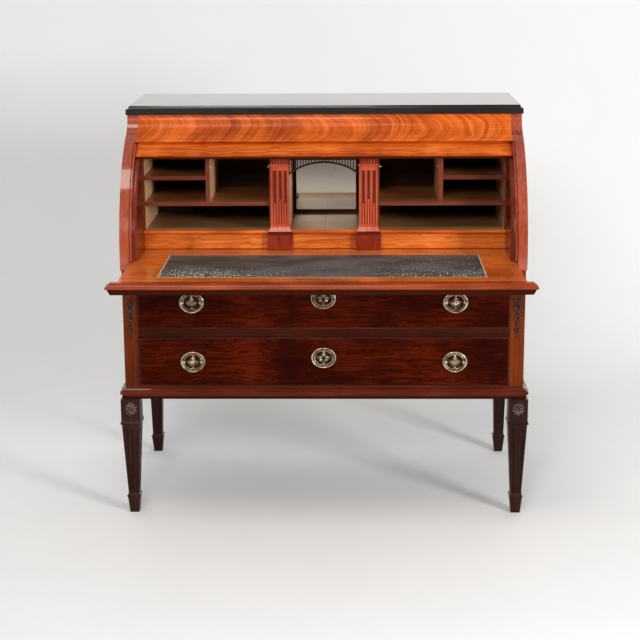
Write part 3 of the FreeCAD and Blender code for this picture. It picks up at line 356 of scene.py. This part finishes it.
# The dark, middle and light tone of each timber.
ORANGE = ((0.200, 0.022, 0.002), (0.540, 0.090, 0.009), (0.880, 0.205, 0.028))
CHEEK = ((0.150, 0.024, 0.010), (0.325, 0.055, 0.022), (0.480, 0.100, 0.042))
LINING = ((0.070, 0.011, 0.005), (0.180, 0.027, 0.011), (0.290, 0.050, 0.020))
COLUMN = ((0.220, 0.028, 0.011), (0.520, 0.080, 0.033), (0.720, 0.140, 0.056))
BLOCK = ((0.090, 0.008, 0.003), (0.220, 0.021, 0.007), (0.340, 0.044, 0.014))
SHELF = ((0.080, 0.014, 0.006), (0.175, 0.034, 0.015), (0.280, 0.066, 0.030))
NOSING = ((0.110, 0.014, 0.004), (0.270, 0.042, 0.011), (0.420, 0.085, 0.022))
RED = ((0.014, 0.0010, 0.0002), (0.037, 0.0029, 0.0006), (0.106, 0.0105, 0.0017))
POST = ((0.055, 0.008, 0.0013), (0.120, 0.019, 0.0028), (0.195, 0.036, 0.005))
BASE = ((0.046, 0.006, 0.0018), (0.096, 0.014, 0.004), (0.155, 0.027, 0.008))
RAIL = ((0.018, 0.003, 0.0010), (0.042, 0.007, 0.0024), (0.076, 0.014, 0.0045))
BROWN = ((0.013, 0.005, 0.0035), (0.026, 0.009, 0.006), (0.048, 0.018, 0.012))
# The backing's near-black tone is partly painted shade, where it stands on the gallery's top and
# back.
BACKING_AND_SHADE = ((0.014, 0.005, 0.003), (0.030, 0.011, 0.006), (0.055, 0.022, 0.011))
OAK = ((0.420, 0.200, 0.078), (0.720, 0.410, 0.190), (0.860, 0.560, 0.300))
# Oak made paler than the real wood on the gallery's walls and partitions: painted light.
PALE_OAK_WITH_PAINTED_LIGHT = ((0.580, 0.280, 0.115), (0.890, 0.520, 0.260), (0.960, 0.660, 0.380))
SLIDE = ((0.310, 0.044, 0.006), (0.660, 0.130, 0.017), (0.900, 0.250, 0.044))
# The carvings' light tone is partly a painted highlight on the petals.
CARVING_AND_HIGHLIGHT = ((0.024, 0.008, 0.005), (0.055, 0.020, 0.012), (0.190, 0.115, 0.085))
WARM_OAK = ((0.150, 0.052, 0.016), (0.310, 0.118, 0.036), (0.460, 0.200, 0.070))
FLOOR_OAK = ((0.180, 0.096, 0.036), (0.310, 0.178, 0.074), (0.430, 0.265, 0.120))
PLINTH = ((0.300, 0.052, 0.008), (0.640, 0.150, 0.021), (0.860, 0.270, 0.052))
BLACK = ((0.008, 0.007, 0.007), (0.013, 0.011, 0.011), (0.020, 0.017, 0.016))
ARCH = ((0.010, 0.003, 0.002), (0.026, 0.007, 0.004), (0.055, 0.016, 0.009))

# Darker colours in hollows and under edges: painted shade on the roll's edge, in the flutes and on
# the base, painted shade with a darker stain below the nose, and a darker block at a column's
# foot.
# Painted shade along the lower edge of the roll's bottom rail.
ROLL_EDGE_PAINTED_SHADE = (0.075, 0.012, 0.007)
# Darker below the nose: painted shade under its overhang, and the fascia's own darker stain.
NOSE_SHADE_AND_STAIN = (0.036, 0.007, 0.004)
# Painted shade deep in the columns' flutes.
FLUTE_PAINTED_SHADE = (0.140, 0.020, 0.009)
FOOT_GRIME = (0.100, 0.012, 0.007)
# Painted shade on the lowest, set-back band of the base.
BASE_PAINTED_SHADE = (0.026, 0.004, 0.0016)

# Places where one finish of a piece ends and the next begins, and where painted shade starts.
GALLERY_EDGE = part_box("gallery_shelves")[0].y + 4 * MM
FLOOR_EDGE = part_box("gallery_shelves")[0].y + 1 * MM
COLUMN_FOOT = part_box("left_pilaster")[0].z
COLUMN_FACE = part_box("left_pilaster")[0].y + 4 * MM
ROLL_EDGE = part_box("roll_bottom_rail")[0].z
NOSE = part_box("slide_nosing")[1].z - 16 * MM
BASE_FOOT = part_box("base_moulding")[0].z
FRIEZE_LEVEL = (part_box("frieze")[0].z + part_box("frieze")[1].z) / 2
FLAME_X = -0.80

ROLL_BOARD = {"along": "x", "figure": 0.18, "sheen": 0.05, "coat": 0.2, "seed": 1.3,
              "ripple": 6.0, "spread": 0.19}
ORANGE_LONG = wood("bright_mahogany_long", ORANGE, **ROLL_BOARD)
# The roll's bottom rail is painted darker along its lower edge: painted shade.
ROLL_EDGED = wood("roll_rail_mahogany", ORANGE, **ROLL_BOARD,
                  stains_and_shade=(("z", ROLL_EDGE + 8.5 * MM, ROLL_EDGE + 7.0 * MM, ROLL_EDGE_PAINTED_SHADE),))
ORANGE_SLIDE = wood("slide_mahogany", SLIDE, along="x", figure=0.2, ledge_coat=0.7, seed=6.9,
                    ripple=6.0, spread=0.19)
ORANGE_FIGURED = wood("bright_mahogany_figured", ORANGE, along="x", figure=0.3, sheen=0.05,
                      coat=0.15, seed=4.1, flame=(FLAME_X, FRIEZE_LEVEL), spread=0.22)
PLINTH_FIGURED = wood("plinth_mahogany", PLINTH, along="x", figure=0.3, seed=3.1, ripple=5.0,
                      spread=0.18)
# The fascia below the nose is painted darker: painted shade under the nose, and a darker stain.
NOSING_LONG = wood("nosing_mahogany", NOSING, along="x", figure=0.1, sheen=0.02, coat=0.01,
                   ledge_coat=0.4, seed=2.9,
                   stains_and_shade=(("z", NOSE, NOSE - 1.5 * MM, NOSE_SHADE_AND_STAIN),))
CHEEK_UPRIGHT = wood("cheek_mahogany", CHEEK, along="z", figure=0.05, gloss=0.16, coat=1.0,
                     seed=2.7)
LINING_UPRIGHT = wood("lining_mahogany", LINING, along="z", figure=0.1, coat=0.3, seed=8.8)
# The columns darken with depth in the flutes: painted shade.
COLUMN_UPRIGHT = wood("column_mahogany", COLUMN, along="z", figure=0.1, coat=0.12, seed=3.7,
                      stains_and_shade=(("y", COLUMN_FACE + 1.0 * MM, COLUMN_FACE + 4.5 * MM, FLUTE_PAINTED_SHADE),
                              ("z", COLUMN_FOOT + 11.6 * MM, COLUMN_FOOT + 10.6 * MM,
                               FOOT_GRIME)))
ARCH_DARK = wood("arch_mahogany", ARCH, along="x", coat=0.2, seed=4.4)
BLOCK_UPRIGHT = wood("block_mahogany", BLOCK, along="z", figure=0.2, coat=0.2, seed=9.1)
SHELF_LINED = wood("shelf_mahogany_on_oak", SHELF, along="x", figure=0.1, gloss=0.3, coat=0.2,
                   seed=6.1, lining=(WARM_OAK, GALLERY_EDGE))
# The walls' oak is the paler copy: painted light inside the gallery.
WALL_LINED = wood("wall_mahogany_on_oak", SHELF, along="y", figure=0.1, gloss=0.3, coat=0.2,
                  seed=6.6, lining=(PALE_OAK_WITH_PAINTED_LIGHT, GALLERY_EDGE))
FLOOR_LINED = wood("floor_mahogany_on_oak", ORANGE, along="x", figure=0.1, gloss=0.34, coat=0.04,
                   seed=7.1, lining=(FLOOR_OAK, FLOOR_EDGE), seam=(0.4 * MM, FLOOR_EDGE))
RED_LONG = wood("drawer_mahogany", RED, along="x", figure=0.28, gloss=0.18, sheen=0.02, coat=0.0,
                seed=7.3, ripple=8.0, spread=0.18)
RED_BEAD = wood("bead_mahogany", RED, along="x", sheen=0.05, coat=0.2, ledge_coat=1.0, seed=5.1)
POST_UPRIGHT = wood("post_mahogany", POST, along="z", figure=0.15, sheen=0.03, coat=0.05,
                    seed=7.7)
# The base's lowest band is painted darker: painted shade under the moulding.
BASE_LONG = wood("base_mahogany", BASE, along="x", figure=0.1, sheen=0.02, coat=0.06,
                 ledge_coat=0.8, seed=8.2,
                 stains_and_shade=(("z", BASE_FOOT + 9.5 * MM, BASE_FOOT + 7.5 * MM, BASE_PAINTED_SHADE),))
RAIL_LONG = wood("rail_mahogany", RAIL, along="x", figure=0.1, sheen=0.03, coat=0.02, seed=8.5)
BROWN_UPRIGHT = wood("dark_leg_mahogany", BROWN, along="z", gloss=0.24, sheen=0.04, coat=0.08,
                     ledge_coat=1.0, wear_and_highlight=0.2, seed=3.3)
# The rosettes' pale rubbed spots and light tone are partly painted highlights.
CARVED = wood("carved_mahogany", CARVING_AND_HIGHLIGHT, along="z", gloss=0.16, sheen=0.5, coat=1.0, wear_and_highlight=0.5,
              seed=1.1)
DROP_CARVED = wood("drop_mahogany", BROWN, along="z", gloss=0.16, sheen=0.3, coat=0.6, wear_and_highlight=0.3,
                   seed=1.7)
# Near black: a dark backing board, and painted shade on the gallery's top and back.
BACKING_AND_SHADE_LONG = wood("backing_board", BACKING_AND_SHADE, along="x", gloss=0.5, coat=0.0, seed=6.4)
BACKING_UPRIGHT = wood("backing_board_upright", BACKING_AND_SHADE, along="z", gloss=0.5, coat=0.0, seed=9.4)
OAK_DEEP = wood("waxed_oak", OAK, along="y", gloss=0.42, coat=0.1, wear_and_highlight=0.2, seed=2.2)
OAK_LONG = wood("waxed_oak_long", OAK, along="x", gloss=0.45, coat=0.05, seed=5.2)
BLACK_LONG = wood("black_polish", BLACK, along="x", gloss=0.05, sheen=0.05, coat=0.9, seed=1.9)
BRASS = aged_brass()
STEEL = filed_steel()

# Which finish each solid wears.
DRESS = {
    ORANGE_LONG: ("roll_shell",),
    ROLL_EDGED: ("roll_bottom_rail",),
    ORANGE_SLIDE: ("slide_board",),
    PLINTH_FIGURED: ("plinth_panels",),
    ORANGE_FIGURED: ("frieze",),
    NOSING_LONG: ("slide_nosing",),
    CHEEK_UPRIGHT: ("left_cheek", "right_cheek", "cheek_bead_strips"),
    LINING_UPRIGHT: ("left_lining", "right_lining"),
    COLUMN_UPRIGHT: ("left_pilaster", "right_pilaster"),
    ARCH_DARK: ("niche_arch",),
    BLOCK_UPRIGHT: ("plinth_blocks",),
    SHELF_LINED: ("gallery_shelves",),
    WALL_LINED: ("gallery_partitions", "gallery_sides"),
    FLOOR_LINED: ("gallery_floor",),
    RED_LONG: ("upper_drawer_front", "lower_drawer_front"),
    RED_BEAD: ("upper_drawer_cockbead", "lower_drawer_cockbead"),
    POST_UPRIGHT: ("left_front_post", "right_front_post", "left_side_panel", "right_side_panel"),
    BASE_LONG: ("base_moulding",),
    RAIL_LONG: ("drawer_rail", "slide_rail"),
    BROWN_UPRIGHT: ("front_left_leg", "front_right_leg", "back_left_leg", "back_right_leg"),
    BACKING_AND_SHADE_LONG: ("gallery_back", "mirror_frame", "case_bottom", "gallery_top"),
    BACKING_UPRIGHT: ("back_panel",),
    OAK_DEEP: ("drawer_runners", "drawer_guides", "slide_bearers", "upper_drawer_sides_and_back",
               "lower_drawer_sides_and_back", "compartment_pegs"),
    OAK_LONG: ("upper_drawer_bottom", "lower_drawer_bottom"),
    BLACK_LONG: ("top_slab",),
    BRASS: ("upper_drawer_brass_plates", "lower_drawer_brass_plates", "upper_left_bail",
            "upper_right_bail", "lower_left_bail", "lower_right_bail"),
    STEEL: ("upper_drawer_lock", "lower_drawer_lock", "upper_lock_bolt", "lower_lock_bolt"),
    old_mirror(): ("niche_mirror",),
    tooled_leather(): ("leather_inset",),
}

for material, names in DRESS.items():
    for name in names:
        NODES[name].data.materials.clear()
        NODES[name].data.materials.append(material)


def smooth_mesh(name, bm, material):
    """A smooth mesh of one material from a bmesh, which is freed."""
    mesh = bpy.data.meshes.new(name)
    bm.to_mesh(mesh)
    bm.free()
    mesh.materials.append(material)
    for polygon in mesh.polygons:
        polygon.use_smooth = True
    return mesh


def piece(name, bm, material, body):
    """Finish a bmesh as a named piece that rides on a body."""
    bmesh.ops.recalc_face_normals(bm, faces=bm.faces)
    obj = bpy.data.objects.new(name, smooth_mesh(name, bm, material))
    bpy.context.scene.collection.objects.link(obj)
    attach(obj, body)


BULGE_SIDES = 12
BULGE_RINGS = 7


def bulge(bm, centre, size, tilt=0.0):
    """A carved swelling on an upright face: a half ellipsoid that bulges forward, sized in mm."""
    made = bmesh.ops.create_uvsphere(bm, u_segments=BULGE_SIDES, v_segments=BULGE_RINGS, radius=MM)
    turn = Matrix.Rotation(tilt, 4, "Y")
    placing = Matrix.Translation(centre) @ turn @ Matrix.Diagonal((*size, 1))
    bmesh.ops.transform(bm, matrix=placing, verts=made["verts"])
    shape = made["verts"] + list({e for v in made["verts"] for e in v.link_edges})
    shape += list({f for v in made["verts"] for f in v.link_faces})
    bmesh.ops.bisect_plane(bm, geom=shape, plane_co=centre, plane_no=(0, 1, 0), clear_outer=True)


def ring(bm, centre, reach, thickness, around, tube):
    """A rod bent to an oval on an upright face; reach is its half width and half height."""
    known = set(bm.verts)
    made = bmesh.ops.create_circle(bm, segments=tube, radius=thickness)
    bmesh.ops.translate(bm, verts=made["verts"], vec=(1, 0, 0))
    edges = list({e for v in made["verts"] for e in v.link_edges})
    bmesh.ops.spin(bm, geom=edges, cent=(0, 0, 0), axis=(0, -1, 0), angle=math.tau, steps=around,
                   use_merge=True)
    for vert in set(bm.verts) - known:
        flat = Vector((vert.co.x, 0, vert.co.z))
        way = flat.normalized()
        out = flat.length - 1
        vert.co = centre + Vector((way.x * (reach[0] + out), vert.co.y, way.z * (reach[1] + out)))


def at_mm(origin, x, z):
    """A point on an upright face, given in mm from an origin."""
    return origin + Vector((x * MM, 0, z * MM))


# Half the width of a front leg's block, and the height of its flower, in mm.
LEG_BLOCK_HALF = 28
ROSETTE_HEIGHT = 322
ROSETTE_EYE = (4, 7.5, 4)
# Count, reach across and up, and size of the petals of each row, in mm.
ROSETTE_PETALS = ((12, (12.2, 14.6), (3.4, 4.0, 6.6)), (8, (6.4, 7.6), (3.0, 5.6, 4.6)))


def make_rosettes():
    """A carved oval flower on the front of each front leg's block."""
    bm = bmesh.new()
    for name in ("front_left_leg", "front_right_leg"):
        low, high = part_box(name)
        face = (low.y + high.y) / 2 - LEG_BLOCK_HALF * MM
        centre = Vector(((low.x + high.x) / 2, face, ROSETTE_HEIGHT * MM))
        for count, reach, size in ROSETTE_PETALS:
            for i in range(count):
                turn = math.tau * (i + 0.5) / count
                at = at_mm(centre, math.sin(turn) * reach[0], math.cos(turn) * reach[1])
                bulge(bm, at, size, turn)
        bulge(bm, centre, ROSETTE_EYE)
    piece("leg_rosettes", bm, CARVED, "case")


# The height of the bow, and the rows of husks below it, in mm.
DROP_HEIGHT = 640
HUSK_ROWS = 3
HUSK_START = 20
HUSK_PITCH = 32
HUSK_TAPER = 0.08
DROP_END = 108


def make_drops():
    """A ribbon bow and a falling string of husks on the face of each post."""
    bm = bmesh.new()
    for name in ("left_front_post", "right_front_post"):
        low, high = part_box(name)
        top = Vector(((low.x + high.x) / 2, low.y, DROP_HEIGHT * MM))
        for side in (-1, 1):
            bulge(bm, at_mm(top, 7.4 * side, 2), (2.8, 3.6, 7.4), math.radians(62) * side)
            bulge(bm, at_mm(top, 5.0 * side, -7), (2.2, 3.0, 7.2), math.radians(-22) * side)
        bulge(bm, top, (3.2, 5.0, 3.2))
        for row in range(HUSK_ROWS):
            foot = -HUSK_START - HUSK_PITCH * row
            shrink = 1 - HUSK_TAPER * row
            for side in (-1, 1):
                bulge(bm, at_mm(top, 6.4 * side * shrink, foot - 3),
                      (3.6 * shrink, 4.6, 10.4 * shrink), math.radians(20) * side)
            bulge(bm, at_mm(top, 0, foot - 7), (3.8 * shrink, 6.4, 11.8 * shrink))
            bulge(bm, at_mm(top, 0, foot + 9), (4.4 * shrink, 5.2, 3.4))
        bulge(bm, at_mm(top, 0, -DROP_END), (2.2, 3.6, 5.0))
    piece("post_drops", bm, DROP_CARVED, "case")


# The drawer plates, in mm.
PLATE_HALF_WIDE = 36
PLATE_HALF_TALL = 30.5
RIM_PROUD = 3.8
RELIEF_PROUD = 3.0
OUTER_ROD_INSET = 2.2
INNER_ROD_INSET = 9.6
ROD_STEPS = 56
RIM_BEADS = 44
BEAD_INSET = 6.2
BEAD_RADIUS = 1.5
URN_LOBES = range(-3, 4)
# Height and size of the urn's neck, lid, knob and foot.
URN_TURNINGS = ((7.8, (8.4, 2.2, 2.0)), (11.4, (6.4, 2.8, 3.2)), (17.4, (3.2, 3.2, 3.4)),
                (-16.4, (4.0, 3.2, 2.2)))


def rim_ring(bm, face, inset, thickness, tube):
    """A rod that follows the plate's outline, some mm inside it."""
    reach = ((PLATE_HALF_WIDE - inset) * MM, (PLATE_HALF_TALL - inset) * MM)
    ring(bm, face, reach, thickness * MM, ROD_STEPS, tube)


def keyhole_relief(bm, face, front):
    """Swags beside a keyhole, and a boss at the top and foot of the rim."""
    for side in (-1, 1):
        bulge(bm, at_mm(face, 0, side * (PLATE_HALF_TALL - OUTER_ROD_INSET)), (4.4, 3.2, 2.1))
        bulge(bm, at_mm(front, side * 9.6, 2.4), (6.4, 3.6, 3.4), math.radians(-10) * side)
        bulge(bm, at_mm(front, side * 8.6, -5.4), (5.4, 3.4, 4.0), math.radians(24) * side)


def urn_relief(bm, face, front):
    """A ring of beads inside the rim, and the urn's lobed bowl and lip."""
    for i in range(RIM_BEADS):
        turn = math.tau * i / RIM_BEADS
        made = bmesh.ops.create_icosphere(bm, subdivisions=1, radius=BEAD_RADIUS * MM)
        bmesh.ops.translate(bm, verts=made["verts"],
                            vec=at_mm(face, math.cos(turn) * (PLATE_HALF_WIDE - BEAD_INSET),
                                      math.sin(turn) * (PLATE_HALF_TALL - BEAD_INSET)))
    for lobe in URN_LOBES:
        lean = abs(lobe)
        bulge(bm, at_mm(front, lobe * 3.9, -4.2 + 0.9 * lean), (2.1, 3.2, 6.0 - 0.9 * lean),
              0.12 * lobe)
    bulge(bm, at_mm(front, 0, 2.4), (16.6, 2.6, 2.2))


def plate_ornament(bm, centre, relief):
    """Rim rods, relief, side rings and urn turnings of one oval plate."""
    face = centre + Vector((0, -RIM_PROUD * MM, 0))
    front = centre + Vector((0, -RELIEF_PROUD * MM, 0))
    rim_ring(bm, face, OUTER_ROD_INSET, 1.9, 8)
    rim_ring(bm, face, INNER_ROD_INSET, 1.2, 6)
    relief(bm, face, front)
    for side in (-1, 1):
        ring(bm, at_mm(front, side * 19.8, 3), (3.6 * MM, 4.8 * MM), 1.2 * MM, 20, 6)
    for height, size in URN_TURNINGS:
        bulge(bm, at_mm(front, 0, height), size)


def make_plate_ornaments():
    """The brass relief of each drawer: two handle plates and a keyhole plate."""
    for word in ("upper", "lower"):
        low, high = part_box(word + "_drawer_brass_plates")
        front_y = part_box(word + "_drawer_front")[0].y
        half_spread = (high.x - low.x) / 2 - PLATE_HALF_WIDE * MM
        handle_z = low.z + PLATE_HALF_TALL * MM
        keyhole_z = high.z - PLATE_HALF_TALL * MM
        bm = bmesh.new()
        for x in (-half_spread, half_spread):
            plate_ornament(bm, Vector((x, front_y, handle_z)), urn_relief)
        plate_ornament(bm, Vector((0, front_y, keyhole_z)), keyhole_relief)
        piece(word + "_plate_ornament", bm, BRASS, word + "_drawer")


make_rosettes()
make_drops()
make_plate_ornaments()


def matte(name, colour):
    """A dull, faintly clouded paint."""
    finish = Finish(name)
    cloud = finish.noise(finish.stretched((3, 3, 3)), 3.0)
    finish.feed(Base_Color=finish.mix(cloud, colour, shade(colour, 0.94)), Roughness=0.85)
    return finish.material


def clear_from_behind(material):
    """Lets a view from the back of the wall pass through it."""
    tree = material.node_tree
    out = next(node for node in tree.nodes if node.type == "OUTPUT_MATERIAL")
    solid = out.inputs["Surface"].links[0].from_socket
    blend = tree.nodes.new("ShaderNodeMixShader")
    side = tree.nodes.new("ShaderNodeNewGeometry")
    clear = tree.nodes.new("ShaderNodeBsdfTransparent")
    tree.links.new(side.outputs["Backfacing"], blend.inputs[0])
    tree.links.new(solid, blend.inputs[1])
    tree.links.new(clear.outputs[0], blend.inputs[2])
    tree.links.new(blend.outputs[0], out.inputs["Surface"])
    return material


# The studio, in metres.
STAGE_REACH = 60
STAGE_NEAR = 9
BEND_START = 1.2
BEND_RADIUS = 0.8
BEND_STEPS = 8
WALL_TOP = 7
STUDIO_PAINT = (0.92, 0.92, 0.91)


def make_stage():
    """A pale floor that curves up into a pale wall, which is clear from behind."""
    bm = bmesh.new()
    path = [(-STAGE_REACH, 0), (-STAGE_NEAR, 0), (BEND_START, 0)]
    for step in range(1, BEND_STEPS + 1):
        turn = math.radians(90 * step / BEND_STEPS)
        path.append((BEND_START + BEND_RADIUS * math.sin(turn),
                     BEND_RADIUS - BEND_RADIUS * math.cos(turn)))
    path.append((BEND_START + BEND_RADIUS, WALL_TOP))
    verts = [bm.verts.new((-STAGE_REACH, y, z)) for y, z in path]
    edges = [bm.edges.new(pair) for pair in zip(verts, verts[1:])]
    made = bmesh.ops.extrude_edge_only(bm, edges=edges)
    moved = [v for v in made["geom"] if isinstance(v, bmesh.types.BMVert)]
    bmesh.ops.translate(bm, verts=moved, vec=(2 * STAGE_REACH, 0, 0))
    bm.normal_update()
    if sum(face.normal.z for face in bm.faces) < 0:
        bmesh.ops.reverse_faces(bm, faces=bm.faces)
    paint = clear_from_behind(matte("pale_studio", STUDIO_PAINT))
    sweep = bpy.data.objects.new("studio_sweep", smooth_mesh("studio_sweep", bm, paint))
    bpy.context.scene.collection.objects.link(sweep)


# Name, place, target, width and height, watts and tint.
LAMPS = (
    ("ceiling_panel", (-0.6, -1.9, 4.6), (0, 0, 0.8), (2.0, 1.4), 52, (1.0, 0.98, 0.95)),
    ("front_panel", (-0.5, -5.2, 2.9), (0, 0, 0.9), (1.4, 1.1), 98, (1.0, 0.98, 0.96)),
    ("window_right", (3.8, -4.0, 1.7), (-0.2, 0, 0.9), (1.2, 1.3), 180, (1, 1, 1)),
)
AIR_TINT = (0.97, 0.98, 1.0, 1)
# The air is dim at the horizon and brighter overhead.
AIR_RISE = {"From Min": 0.05, "From Max": 0.9, "To Min": 0.06, "To Max": 0.46}


def lamp(name, place, target, size, power, tint):
    """A flat lamp that looks at a target."""
    light = bpy.data.lights.new(name, "AREA")
    light.shape = "RECTANGLE"
    light.size, light.size_y = size
    light.energy = power
    light.color = tint
    obj = bpy.data.objects.new(name, light)
    obj.location = place
    obj.rotation_euler = (Vector(target) - Vector(place)).to_track_quat("-Z", "Y").to_euler()
    bpy.context.scene.collection.objects.link(obj)


def make_light():
    """Soft air, a lamp overhead, a lamp in front and a window far to the right."""
    world = bpy.data.worlds.new("studio_air")
    world.use_nodes = True
    tree = world.node_tree
    ground = tree.nodes["Background"]
    ground.inputs[0].default_value = AIR_TINT
    way = tree.nodes.new("ShaderNodeTexCoord")
    split = tree.nodes.new("ShaderNodeSeparateXYZ")
    height = tree.nodes.new("ShaderNodeMapRange")
    height.interpolation_type = "SMOOTHSTEP"
    for key, value in AIR_RISE.items():
        height.inputs[key].default_value = value
    tree.links.new(way.outputs["Generated"], split.inputs[0])
    tree.links.new(split.outputs["Z"], height.inputs["Value"])
    tree.links.new(height.outputs[0], ground.inputs[1])
    bpy.context.scene.world = world
    for row in LAMPS:
        lamp(*row)


# Yaw, pitch and roll in degrees, place in metres, lens and sensor in mm.
CAMERA_ANGLES = (-1.3314, 13.619, -0.3591)
CAMERA_PLACE = (0.0920, -4.5499, 1.6448)
CAMERA_LENS = 88.55
CAMERA_SENSOR = 36


def make_camera():
    """The photograph's view."""
    yaw, pitch, roll = (math.radians(angle) for angle in CAMERA_ANGLES)
    level = math.cos(pitch)
    ahead = Vector((math.sin(yaw) * level, math.cos(yaw) * level, -math.sin(pitch)))
    right = ahead.cross(Vector((0, 0, 1))).normalized()
    up = right.cross(ahead)
    across = right * math.cos(roll) + up * math.sin(roll)
    upward = up * math.cos(roll) - right * math.sin(roll)
    camera = bpy.data.cameras.new("photo_camera")
    camera.sensor_width = CAMERA_SENSOR
    camera.lens = CAMERA_LENS
    obj = bpy.data.objects.new("photo_camera", camera)
    turn = Matrix((across, upward, -ahead)).transposed()
    obj.matrix_world = Matrix.Translation(CAMERA_PLACE) @ turn.to_4x4()
    bpy.context.scene.collection.objects.link(obj)
    bpy.context.scene.camera = obj


make_stage()
make_light()
make_camera()
bpy.context.scene.view_settings.view_transform = "Standard"
